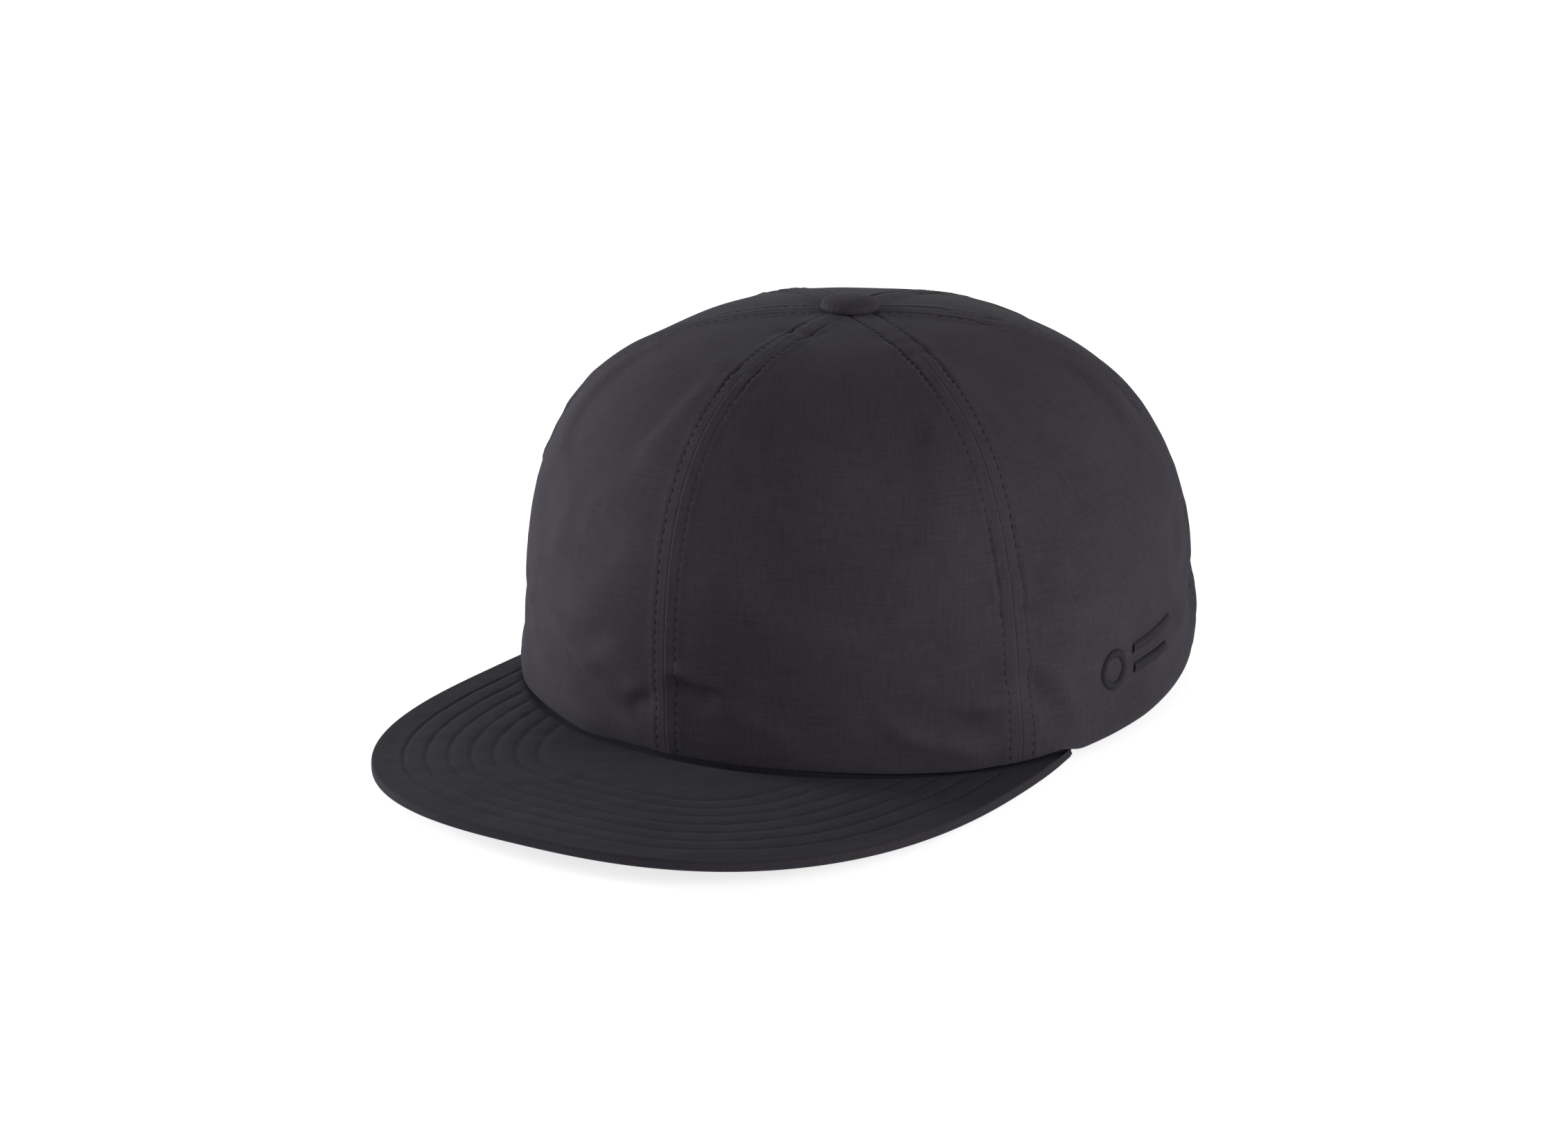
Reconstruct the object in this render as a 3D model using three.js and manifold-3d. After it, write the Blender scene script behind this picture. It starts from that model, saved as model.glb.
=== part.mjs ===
// A six-panel bump cap: a soft cloth crown with a flat stitched brim, and inside it a hard
// protective shell on foam pads that can be taken out.
// Units are millimetres. +Z is up, the brim points along -Y and +X is the wearer's left.
// Everything is drawn round the centre of the head opening, in the plane of the seam that joins brim
// and crown. At the end the whole cap moves so that the origin is the middle of its footprint, level
// with its lowest point.
import * as THREE from "three";
import { mergeVertices } from "three/addons/utils/BufferGeometryUtils.js";
import Module from "manifold-3d";

const wasm = await Module();
wasm.setup();

const RAD = Math.PI / 180;

// ---------------------------------------------------------------- driving dimensions

// Crown, outer surface of the cloth. The plan is two half ellipses, the profile a superellipse.
const HALF_WIDTH = 90.1;
const FRONT_LENGTH = 103.9;
const BACK_LENGTH = 109;
const CROWN_HEIGHT = 104.5;
const APEX_SHIFT = -9.6; // the button sits ahead of the middle of the opening
const FRONT_PROFILE = { radial: 3.1, vertical: 3.1 };
const BACK_PROFILE = { radial: 2.1, vertical: 3.4 };
const HEM_RAISE = 12; // how far the hem climbs towards the back
const HEM_FLARE = 1.6;
const FLARE_HEIGHT = 14;

// Brim: a sheet with a slight arch across its width, tilted up a little in front of the crown.
const BRIM_HALF_WIDTH = 86.2;
const BRIM_MIDDLE_Y = -65.7;
const BRIM_REACH = 111.6;
const BRIM_ROUNDNESS = 2.5;
const BRIM_ARCH = 0.00026; // fall per square millimetre of distance from the middle
const BRIM_TILT = 0.031; // rise per millimetre in front of TILT_START
const TILT_START = 60;
const TILT_EASE = 20;
const BRIM_LIFT = 0.77;
const BRIM_CORNER = 71; // degrees round from the front

// Layers, as depths below the crown's outer surface.
const CLOTH = 1.4;
const GAP = 0.3;
const TAPE = { out: 2, in: 2.5 };
const SWEATBAND = { out: 2.8, in: 4.3, height: 28 };
const SWEATBAND_REAR_DEPTH = 3.7; // the band sits this much deeper where the strap runs behind it
const LOOP_TAB = { out: 1.8, in: 2.8 };
const HOOK_TAB = { out: 3.2, in: 4.6 };
const SHELL = { out: 5, in: 7.2 };
const PAD = { out: 7.6, in: 12.6 };

// Rear opening and its adjuster.
const ARCH_HALF_WIDTH = 38;
const ARCH_HEIGHT = 42;
const STRAP_RADIUS = 73.8; // the strap's outer face at mid width
const STRAP_LEAN = 9; // degrees; the strap leans in with the crown as it rises
const STRAP_CENTRE_Y = BACK_LENGTH - 78;
const STRAP_THICKNESS = 1.3;
const STRAP_WIDTH = 19;
const STRAP_BOTTOM = 15.5;

const COLOUR = {
  cloth: 0x2b2a2e,
  lining: 0x202024,
  board: 0x1a1a1c,
  shell: 0x17181a,
  foam: 0x2f3033,
  metal: 0x4a4b4f,
  label: 0xd8d8d4,
};

// ---------------------------------------------------------------- the crown's surface

const mix = (a, b, share) => a + (b - a) * share;

function smoothStep(value, from, to) {
  const t = Math.min(1, Math.max(0, (value - from) / (to - from)));
  return t * t * (3 - 2 * t);
}

// theta runs round the head in radians: 0 is the front, and it grows towards +X.
function hemPlan(theta) {
  const length = Math.cos(theta) > 0 ? FRONT_LENGTH : BACK_LENGTH;
  return [HALF_WIDTH * Math.sin(theta), -length * Math.cos(theta)];
}

function brimHeight(x, y) {
  const ahead = -y - TILT_START;
  const rise = (BRIM_TILT * (Math.hypot(ahead, TILT_EASE) + ahead)) / 2;
  return BRIM_LIFT - BRIM_ARCH * x * x + rise;
}

function hemHeight(theta) {
  const rearShare = (1 - Math.cos(theta)) / 2;
  return brimHeight(...hemPlan(theta)) + HEM_RAISE * rearShare * rearShare;
}

function profileExponents(theta) {
  const frontShare = (1 + Math.cos(theta)) / 2;
  return {
    radial: mix(BACK_PROFILE.radial, FRONT_PROFILE.radial, frontShare),
    vertical: mix(BACK_PROFILE.vertical, FRONT_PROFILE.vertical, frontShare),
  };
}

// alpha is the angle up the profile: 0 at the hem, a right angle at the apex.
function profilePoint(theta, alpha) {
  const { radial, vertical } = profileExponents(theta);
  const c = Math.max(0, Math.cos(alpha));
  const s = Math.sin(alpha);
  let low = 0.9;
  let high = 1.5;
  for (let i = 0; i < 40; i++) {
    const middle = (low + high) / 2;
    if ((middle * c) ** radial + (middle * s) ** vertical > 1) high = middle;
    else low = middle;
  }
  return { share: low * c, rise: low * s };
}

function alphaAtHeight(theta, height) {
  const { radial, vertical } = profileExponents(theta);
  const rise = Math.min(0.999, height / CROWN_HEIGHT);
  return Math.atan2(rise, (1 - rise ** vertical) ** (1 / radial));
}

function crownOuter(theta, alpha) {
  const { share, rise } = profilePoint(theta, alpha);
  const [x, y] = hemPlan(theta);
  const height = rise * CROWN_HEIGHT;
  const flare = 1 + (HEM_FLARE / 95) * Math.exp(-height / FLARE_HEIGHT);
  return new THREE.Vector3(
    x * share * flare,
    y * share * flare + APEX_SHIFT * rise,
    hemHeight(theta) * (1 - rise) + height,
  );
}

// A point at some depth below the outer surface, measured square to it.
function crownPoint(theta, alpha, depth) {
  const step = 0.01;
  const point = crownOuter(theta, alpha);
  if (alpha > 89 * RAD) return point.setZ(point.z - depth);
  const round = crownOuter(theta + step, alpha).sub(crownOuter(theta - step, alpha));
  const up = crownOuter(theta, alpha + step).sub(crownOuter(theta, Math.max(0, alpha - step)));
  const normal = round.cross(up).normalize();
  return point.addScaledVector(normal, -depth);
}

// ---------------------------------------------------------------- solids

function geometryFrom(points, triangles) {
  const flat = new Float32Array(points.length * 3);
  points.forEach((p, i) => flat.set([p.x, p.y, p.z], i * 3));
  const raw = new THREE.BufferGeometry();
  raw.setAttribute("position", new THREE.BufferAttribute(flat, 3));
  raw.setIndex(triangles);
  const merged = mergeVertices(raw, 1e-3);
  const kept = [];
  const index = merged.index.array;
  for (let i = 0; i < index.length; i += 3) {
    const [a, b, c] = index.slice(i, i + 3);
    if (a !== b && b !== c && a !== c) kept.push(a, b, c);
  }
  merged.setIndex(kept);
  return merged;
}

// A sheet with thickness: outer(i, j) and inner(i, j) give its two faces on a grid.
// With closed set, the last column joins the first. The faces turn out on a grid whose
// first direction, second direction and outward normal are right-handed.
function sheet(columns, rows, outer, inner, closed = false) {
  const points = [];
  const triangles = [];
  const width = rows + 1;
  const count = closed ? columns : columns + 1;
  for (const face of [outer, inner])
    for (let i = 0; i < count; i++)
      for (let j = 0; j <= rows; j++) points.push(face(i, j));
  const innerStart = count * width;
  const at = (i, j) => (i % count) * width + j;
  const quad = (a, b, c, d) => triangles.push(a, b, c, a, c, d);
  for (let i = 0; i < columns; i++)
    for (let j = 0; j < rows; j++) {
      const [a, b, c, d] = [at(i, j), at(i + 1, j), at(i + 1, j + 1), at(i, j + 1)];
      quad(a, b, c, d);
      quad(d + innerStart, c + innerStart, b + innerStart, a + innerStart);
    }
  for (let i = 0; i < columns; i++) {
    const [a, b] = [at(i, 0), at(i + 1, 0)];
    const [c, d] = [at(i, rows), at(i + 1, rows)];
    quad(a + innerStart, b + innerStart, b, a);
    quad(c, d, d + innerStart, c + innerStart);
  }
  if (!closed)
    for (let j = 0; j < rows; j++) {
      const [a, b] = [at(0, j), at(0, j + 1)];
      const [c, d] = [at(columns, j), at(columns, j + 1)];
      quad(a, b, b + innerStart, a + innerStart);
      quad(c + innerStart, d + innerStart, d, c);
    }
  return geometryFrom(points, triangles);
}

function solidOf(geometry) {
  const bare = geometry.index ? geometry.toNonIndexed() : geometry.clone();
  const points = new THREE.BufferGeometry();
  points.setAttribute("position", bare.getAttribute("position"));
  const merged = mergeVertices(points, 1e-4);
  return new wasm.Manifold(
    new wasm.Mesh({
      numProp: 3,
      vertProperties: new Float32Array(merged.attributes.position.array),
      triVerts: new Uint32Array(merged.index.array),
    }),
  );
}

function geometryOf(solid) {
  const mesh = solid.getMesh();
  const geometry = new THREE.BufferGeometry();
  geometry.setAttribute("position", new THREE.BufferAttribute(mesh.vertProperties, 3));
  geometry.setIndex(new THREE.BufferAttribute(mesh.triVerts, 1));
  return geometry;
}

const cap = new THREE.Group();

function addMesh(name, geometry, colour, roughness = 0.9, metalness = 0) {
  const flat = geometry.index ? geometry.toNonIndexed() : geometry;
  flat.deleteAttribute("normal");
  flat.computeVertexNormals();
  const material = new THREE.MeshStandardMaterial({ color: colour, roughness, metalness });
  const mesh = new THREE.Mesh(flat, material);
  mesh.name = name;
  cap.add(mesh);
  return mesh;
}

// ---------------------------------------------------------------- sheets that follow the crown

// Every layer bends at the same directions and heights, so that the layers nest.
const TURN = 7.5;
const HEIGHT_STATIONS = [0, 13, 25, 33, 39, 44, 49, 54, 60, 68, 78, 90].map((a) => a * RAD);
const ROWS = HEIGHT_STATIONS.length - 1;
const SNAP = 1.6 * RAD;

function turnStations(from, to) {
  const stations = [from];
  for (let a = Math.ceil(from / TURN) * TURN; a < to - 1; a += TURN) if (a > from + 1) stations.push(a);
  stations.push(to);
  return stations.map((a) => a * RAD);
}

// The station a row lies on, held between the sheet's foot and its top.
function stationBetween(row, foot, top) {
  const alpha = HEIGHT_STATIONS[row];
  if (row === 0 || alpha < foot + SNAP) return foot;
  if (row === ROWS || alpha > top - SNAP) return top;
  return alpha;
}

// angles are the columns; foot(theta) and top(theta) give the ends of each; depth(theta, layer)
// places the outer and inner faces; edgeGap trims both sides for a neighbour.
function crownSheet(angles, foot, top, layer, options = {}) {
  const { edgeGap = 0, depth = (theta, d) => d, closed = false } = options;
  const last = angles.length - 1;
  const face = (d) => (i, j) => {
    let theta = angles[i];
    const alpha = stationBetween(j, foot(theta), top(theta));
    if (edgeGap && i === 0) theta += edgeGap / 2 / reachFromAxis(theta, alpha);
    if (edgeGap && i === last) theta -= edgeGap / 2 / reachFromAxis(theta, alpha);
    return crownPoint(theta, alpha, depth(theta, d));
  };
  return sheet(closed ? last + 1 : last, ROWS, face(layer.out), face(layer.in), closed);
}

// Distance from the leaning middle line of the crown.
function reachFromAxis(theta, alpha) {
  const point = crownOuter(theta, alpha);
  return Math.hypot(point.x, point.y - APEX_SHIFT * profilePoint(theta, alpha).rise);
}

// How far up the profile a sheet may go before it is this close to the apex.
function alphaNearApex(theta, radius) {
  const [x, y] = hemPlan(theta);
  const share = radius / Math.hypot(x, y);
  const { radial, vertical } = profileExponents(theta);
  const rise = (1 - share ** radial) ** (1 / vertical);
  return Math.atan2(rise, share);
}

const atHeight = (height) => (theta) => alphaAtHeight(theta, height);
const nearApex = (radius) => (theta) => alphaNearApex(theta, radius);
const atAngle = (degrees) => () => degrees * RAD;

// ---------------------------------------------------------------- crown panels

const APEX_HOLE = 4.4; // radius of the hole the panels leave for the button's rivet
const SEAM_GAP = 0.36;

function archHeight(theta) {
  const share = Math.abs(HALF_WIDTH * Math.sin(theta)) / ARCH_HALF_WIDTH;
  return share < 1 ? ARCH_HEIGHT * Math.sqrt(1 - share * share) : 0;
}

// Columns crowd towards the side of the arch, where its edge is steep.
function rearPanelAngles() {
  const angles = [];
  const columns = 7;
  for (let i = 0; i <= columns; i++) {
    const across = ARCH_HALF_WIDTH * Math.sin((i / columns) * 90 * RAD);
    angles.push(Math.PI - Math.asin(across / HALF_WIDTH));
  }
  return [...turnStations(120, 150), ...angles.reverse()];
}

function addPanels() {
  const rear = rearPanelAngles();
  const panels = [
    ["crown_panel_rear_right", rear.map((a) => -a).reverse(), archHeight],
    ["crown_panel_side_right", turnStations(-120, -60)],
    ["crown_panel_front_right", turnStations(-60, 0)],
    ["crown_panel_front_left", turnStations(0, 60)],
    ["crown_panel_side_left", turnStations(60, 120)],
    ["crown_panel_rear_left", rear, archHeight],
  ];
  for (const [name, angles, edge = () => 0] of panels) {
    const foot = (theta) => alphaAtHeight(theta, edge(theta));
    const layer = { out: 0, in: CLOTH };
    const panel = crownSheet(angles, foot, nearApex(APEX_HOLE), layer, { edgeGap: SEAM_GAP });
    addMesh(name, panel, COLOUR.cloth);
  }
}
addPanels();

// ---------------------------------------------------------------- tapes inside the crown

const TAPE_HALF_WIDTH = 6;
const TAPE_FOOT = 1;
const ARCH_TAPE_WIDTH = 8;

// A tape follows one seam from just above the hem to just short of the rivet's washer.
function seamTape(theta, foot) {
  const top = alphaNearApex(theta, 16);
  const face = (depth) => (i, j) => {
    const alpha = stationBetween(j, alphaAtHeight(theta, foot), top);
    const angle = TAPE_HALF_WIDTH / reachFromAxis(theta, alpha);
    return crownPoint(theta + mix(-angle, angle, i / 2), alpha, depth);
  };
  return sheet(2, ROWS, face(TAPE.out), face(TAPE.in));
}

const SEAM_TAPES = [
  ["seam_tape_front", 0, TAPE_FOOT],
  ["seam_tape_front_left", 60, TAPE_FOOT],
  ["seam_tape_rear_left", 120, TAPE_FOOT],
  ["seam_tape_rear", 180, ARCH_HEIGHT + ARCH_TAPE_WIDTH + 2],
  ["seam_tape_rear_right", -120, TAPE_FOOT],
  ["seam_tape_front_right", -60, TAPE_FOOT],
];
for (const [name, degrees, foot] of SEAM_TAPES)
  addMesh(name, seamTape(degrees * RAD, foot), COLOUR.lining);

// The tape that binds the edge of the rear opening, following it round from side to side.
function archTape() {
  const columns = 18;
  const face = (depth) => (i, j) => {
    const turn = mix(0, Math.PI, i / columns);
    const out = j * ARCH_TAPE_WIDTH + 0.5;
    const across = -(ARCH_HALF_WIDTH + out) * Math.cos(turn);
    const height = (ARCH_HEIGHT + out) * Math.sin(turn) + TAPE_FOOT;
    const theta = Math.PI + Math.asin(across / HALF_WIDTH);
    return crownPoint(theta, alphaAtHeight(theta, height), depth);
  };
  return sheet(columns, 1, face(TAPE.out), face(TAPE.in));
}
addMesh("arch_tape", archTape(), COLOUR.lining);

// ---------------------------------------------------------------- sweatband and label

const BAND_END = 180 - Math.asin(ARCH_HALF_WIDTH / HALF_WIDTH) / RAD - 1;
const BAND_FOOT = 0.8;

function bandDepth(theta, depth) {
  return depth + SWEATBAND_REAR_DEPTH * smoothStep(Math.abs(theta) / RAD, 120, 135);
}

function addSweatband() {
  const around = turnStations(-BAND_END, BAND_END);
  const top = atHeight(SWEATBAND.height);
  const band = crownSheet(around, atHeight(BAND_FOOT), top, SWEATBAND, { depth: bandDepth });
  addMesh("sweatband", band, COLOUR.lining);
  // A plain woven size label on the inside of the band, behind the wearer's left ear.
  const out = SWEATBAND.in + GAP;
  const layer = { out, in: out + 0.4 };
  const label = crownSheet(turnStations(97.5, 112.5), atHeight(6), atHeight(22), layer);
  addMesh("size_label", label, COLOUR.label);
}
addSweatband();

// ---------------------------------------------------------------- brim

const BRIM_COLUMNS = 25;
const BRIM_ROWS = 3;
const BRIM_TUCK = 3.6; // how far the brim reaches in under the hem
const COVER = 0.5;
const BOARD = 1.2;
const BRIM_TOP = -0.3;
const BOARD_INSET = 1.3;

// The outer edge, from the right corner (-1) over the tip (0) to the left corner (1).
function brimEdge(share) {
  const [, cornerY] = hemPlan(BRIM_CORNER * RAD);
  const back = ((cornerY - BRIM_MIDDLE_Y) / BRIM_REACH) ** (BRIM_ROUNDNESS / 2);
  const turn = share * (Math.PI / 2 + Math.asin(back));
  const power = 2 / BRIM_ROUNDNESS;
  const s = Math.sin(turn);
  const c = Math.cos(turn);
  return [
    BRIM_HALF_WIDTH * Math.sign(s) * Math.abs(s) ** power,
    BRIM_MIDDLE_Y - BRIM_REACH * Math.sign(c) * Math.abs(c) ** power,
  ];
}

function brimSeam(share) {
  const theta = share * BRIM_CORNER * RAD;
  const point = crownPoint(theta, 0, BRIM_TUCK);
  return [point.x, point.y];
}

// A point on the brim: share runs from corner to corner, reach from the seam to the edge.
function brimPoint(share, reach, inset, drop) {
  const [edgeX, edgeY] = brimEdge(share);
  const [seamX, seamY] = brimSeam(share);
  const length = Math.hypot(edgeX - seamX, edgeY - seamY);
  const t = mix(inset / length, 1 - inset / length, reach);
  const x = mix(seamX, edgeX, t);
  const y = mix(seamY, edgeY, t);
  return new THREE.Vector3(x, y, brimHeight(x, y) + BRIM_TOP - drop);
}

function brimSheet(inset, endInset, top, bottom) {
  const face = (drop) => (i, j) => {
    const share = mix(-1 + endInset, 1 - endInset, i / BRIM_COLUMNS);
    return brimPoint(share, 1 - j / BRIM_ROWS, inset, drop);
  };
  return sheet(BRIM_COLUMNS, BRIM_ROWS, face(top), face(bottom));
}

// Each cloth cover wraps half of the board's edge, and they meet in a seam at mid thickness.
function addBrim() {
  const boardTop = COVER + GAP;
  const boardBottom = boardTop + BOARD;
  const total = boardBottom + GAP + COVER;
  const endInset = 0.03;
  const middle = total / 2;
  const room = solidOf(
    brimSheet(BOARD_INSET - GAP, endInset - 0.006, COVER, total - COVER),
  );
  const cover = (top, bottom) => {
    const whole = solidOf(brimSheet(0, 0, top, bottom));
    return geometryOf(whole.subtract(room));
  };
  addMesh("brim_top_cover", cover(0, middle - GAP / 2), COLOUR.cloth);
  addMesh("brim_bottom_cover", cover(middle + GAP / 2, total), COLOUR.cloth);
  const board = brimSheet(BOARD_INSET, endInset, boardTop, boardBottom);
  addMesh("brim_board", board, COLOUR.board, 0.6);
}
addBrim();

// ---------------------------------------------------------------- button on the crown

const BUTTON_RADIUS = 8.2;
const BUTTON_HEIGHT = 4.4;
const RIVET_RADIUS = 2.6;
const WASHER_RADIUS = 7;

function lathe(profile, segments) {
  const points = profile.map(([r, z]) => new THREE.Vector2(r, z));
  const turned = new THREE.LatheGeometry(points, segments);
  return turned.rotateX(Math.PI / 2);
}

// A covered button stands on the crown, and its rivet is spread over a washer inside.
function addButton() {
  const apex = crownPoint(0, Math.PI / 2, 0);
  const inside = -CLOTH - GAP;
  const parts = [
    [
      "crown_button",
      [
        [0, 2.4],
        [RIVET_RADIUS + GAP, 2.4],
        [RIVET_RADIUS + GAP, 0.5],
        [BUTTON_RADIUS - 0.9, 0.5],
        [BUTTON_RADIUS, 1.5],
        [BUTTON_RADIUS - 0.3, 2.7],
        [BUTTON_RADIUS - 1.8, 3.8],
        [BUTTON_RADIUS - 4.2, 4.3],
        [0, BUTTON_HEIGHT],
      ],
      COLOUR.cloth,
      0,
    ],
    [
      "button_rivet",
      [
        [0, inside - 1.3],
        [RIVET_RADIUS + 1.2, inside - 1.3],
        [RIVET_RADIUS + 1.2, inside - 0.9],
        [RIVET_RADIUS, inside - 0.9],
        [RIVET_RADIUS, 2.1],
        [0, 2.1],
      ],
      COLOUR.metal,
      0.8,
    ],
    [
      "button_washer",
      [
        [RIVET_RADIUS + GAP, inside - 0.6],
        [WASHER_RADIUS, inside - 0.6],
        [WASHER_RADIUS, inside],
        [RIVET_RADIUS + GAP, inside],
        [RIVET_RADIUS + GAP, inside - 0.6],
      ],
      COLOUR.metal,
      0.8,
    ],
  ];
  for (const [name, profile, colour, metalness] of parts) {
    const mesh = addMesh(name, lathe(profile, 24), colour, 0.6, metalness);
    mesh.position.copy(apex);
  }
}
addButton();

// ---------------------------------------------------------------- rear strap and buckle

const STRAP_START = -46; // degrees round from the back, growing towards +X
const STRAP_END = 35;
const STRAP_MIDDLE = STRAP_BOTTOM + STRAP_WIDTH / 2;
const ANCHOR_END = 46;
const BUCKLE_ANGLE = 8;
const BUCKLE_LENGTH = 16;
const BUCKLE_HEIGHT = 24;
const BUCKLE_METAL = 0.8;
const PLATE_OUT = -STRAP_THICKNESS - 0.9;
const HINGE_ALONG = 4.6; // the lever's hinge line in the buckle's own frame
const HINGE_OUT = 3.2;
const PIN_RADIUS = 0.8;
const BORE_RADIUS = 1.15;
const BAR_ALONG = BUCKLE_LENGTH / 2 + 3.2;
const BAR_OUT = -STRAP_THICKNESS - 3.3;
const BAR_RADIUS = 0.7;
const ANCHOR_THICKNESS = 0.8;
const ANCHOR_BEND = BAR_RADIUS + 0.5;

function arcPoint(degrees, radius) {
  const turn = degrees * RAD;
  return [radius * Math.sin(turn), STRAP_CENTRE_Y + radius * Math.cos(turn)];
}

function extrudeOutline(outline, height) {
  const shape = new THREE.Shape(outline.map(([x, y]) => new THREE.Vector2(x, y)));
  return new THREE.ExtrudeGeometry(shape, { depth: height, bevelEnabled: false });
}

function boxFrom(low, high) {
  const size = high.map((v, k) => v - low[k]);
  const middle = high.map((v, k) => (v + low[k]) / 2);
  return new THREE.BoxGeometry(...size).translate(...middle);
}

function cylinder(radius, height, segments) {
  const shape = new THREE.CylinderGeometry(radius, radius, height, segments);
  return shape.rotateX(Math.PI / 2);
}

// A point of a band that stands on edge along an arc and leans in as it rises.
function leaningPoint(degrees, radius, z) {
  const [x, y] = arcPoint(degrees, radius - (z - STRAP_MIDDLE) * Math.tan(STRAP_LEAN * RAD));
  return new THREE.Vector3(x, y, z);
}

// outer and inner are paths of [degrees, radius]; the band fills the space between them.
function leaningBand(outer, inner, low, high) {
  const face = (path) => (i, j) => leaningPoint(...path[i], j ? high : low);
  return sheet(outer.length - 1, 1, face(outer), face(inner));
}

const hingeBore = () =>
  solidOf(cylinder(BORE_RADIUS, BUCKLE_HEIGHT * 3, 20).translate(HINGE_ALONG, HINGE_OUT, 0));

// The buckle lies in its own frame: x along the strap, y out from the head, z up.
// A plate under the strap, a wall at each end of it with an ear for the pin, and a bar beyond.
function buckleFrame() {
  const half = BUCKLE_LENGTH / 2;
  const plateIn = PLATE_OUT - BUCKLE_METAL;
  let frame = solidOf(boxFrom([-half, plateIn, 0], [half, PLATE_OUT, BUCKLE_HEIGHT]));
  const ear = 1.9;
  const walls = [
    [-half, plateIn],
    [half, plateIn],
    [half, 0.6],
    [HINGE_ALONG + ear, HINGE_OUT - 0.8],
    [HINGE_ALONG + ear, HINGE_OUT + ear / 2],
    [HINGE_ALONG + ear / 2, HINGE_OUT + ear],
    [HINGE_ALONG - ear / 2, HINGE_OUT + ear],
    [HINGE_ALONG - ear, HINGE_OUT + ear / 2],
    [HINGE_ALONG - ear, HINGE_OUT - 0.8],
    [-half, 0.6],
  ];
  const arms = [
    [half - 1, plateIn],
    [BAR_ALONG - 1, BAR_OUT - BAR_RADIUS],
    [BAR_ALONG + 0.9, BAR_OUT - BAR_RADIUS],
    [BAR_ALONG + 0.9, BAR_OUT + BAR_RADIUS],
    [half, PLATE_OUT],
    [half - 1, PLATE_OUT],
  ];
  for (const low of [0, BUCKLE_HEIGHT - BUCKLE_METAL]) {
    frame = frame.add(solidOf(extrudeOutline(walls, BUCKLE_METAL).translate(0, 0, low)));
    frame = frame.add(solidOf(extrudeOutline(arms, BUCKLE_METAL).translate(0, 0, low)));
  }
  const bar = cylinder(BAR_RADIUS, BUCKLE_HEIGHT - 0.4, 12);
  frame = frame.add(solidOf(bar.translate(BAR_ALONG, BAR_OUT, BUCKLE_HEIGHT / 2)));
  return geometryOf(frame.subtract(hingeBore()));
}

// A cam lever: a plate over the strap, a knuckle round the pin and a nose that bites down.
function buckleLever() {
  const side = BUCKLE_METAL + GAP + 0.1;
  const knuckle = 1.8;
  const nose = 0.95;
  const tip = -BUCKLE_LENGTH / 2 - 2;
  const outline = [
    [tip, HINGE_OUT - 0.5],
    [HINGE_ALONG - knuckle, HINGE_OUT - 0.5],
  ];
  const steps = 16;
  for (let i = 1; i <= steps; i++) {
    const degrees = mix(-150, 90, i / steps);
    const radius = knuckle + nose * Math.exp(-(((degrees + 90) / 24) ** 2));
    const turn = degrees * RAD;
    outline.push([HINGE_ALONG + radius * Math.cos(turn), HINGE_OUT + radius * Math.sin(turn)]);
  }
  outline.push([tip + 4, HINGE_OUT + 1]);
  outline.push([tip, HINGE_OUT + 0.6]);
  const plate = extrudeOutline(outline, BUCKLE_HEIGHT - 2 * side).translate(0, 0, side);
  return geometryOf(solidOf(plate).subtract(hingeBore()));
}

function polar([x, y]) {
  return [Math.atan2(x, y - STRAP_CENTRE_Y) / RAD, Math.hypot(x, y - STRAP_CENTRE_Y)];
}

// The long strap, an even arc.
function longStrap() {
  const outer = [];
  for (let i = 0; i <= 26; i++) outer.push([mix(STRAP_END, STRAP_START, i / 26), STRAP_RADIUS]);
  const inner = outer.map(([degrees, radius]) => [degrees, radius - STRAP_THICKNESS]);
  return leaningBand(outer, inner, STRAP_BOTTOM, STRAP_BOTTOM + STRAP_WIDTH);
}

// The short strap: folded round the buckle's bar, with its long end sewn in at the left panel.
function anchorStrap() {
  const barRadius = Math.hypot(BAR_ALONG, STRAP_RADIUS + BAR_OUT);
  const barDegrees = BUCKLE_ANGLE + Math.atan2(BAR_ALONG, STRAP_RADIUS + BAR_OUT) / RAD;
  const [barX, barY] = arcPoint(barDegrees, barRadius);
  const reach = ANCHOR_BEND + ANCHOR_THICKNESS;
  const outer = [];
  const inner = [];
  for (let i = 0; i <= 10; i++) {
    const degrees = mix(ANCHOR_END, barDegrees, i / 10);
    outer.push([degrees, barRadius + reach]);
    inner.push([degrees, barRadius + ANCHOR_BEND]);
  }
  for (let i = 1; i < 6; i++) {
    const turn = mix(90, 270, i / 6) * RAD - barDegrees * RAD;
    const spoke = (radius) => [barX + radius * Math.cos(turn), barY + radius * Math.sin(turn)];
    outer.push(polar(spoke(reach)));
    inner.push(polar(spoke(ANCHOR_BEND)));
  }
  const tail = 7;
  for (let i = 0; i <= 3; i++) {
    const degrees = barDegrees + (tail * i) / 3;
    outer.push([degrees, barRadius - reach]);
    inner.push([degrees, barRadius - ANCHOR_BEND]);
  }
  const low = STRAP_BOTTOM + 0.5;
  return leaningBand(outer, inner, low, low + STRAP_WIDTH - 1);
}

// Sets a buckle piece on the strap, leaning with it.
function placeOnArc(mesh) {
  const [x, y] = arcPoint(BUCKLE_ANGLE, STRAP_RADIUS);
  mesh.position.set(x, y, STRAP_MIDDLE);
  mesh.rotation.set(STRAP_LEAN * RAD, 0, -BUCKLE_ANGLE * RAD, "ZYX");
}

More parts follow.
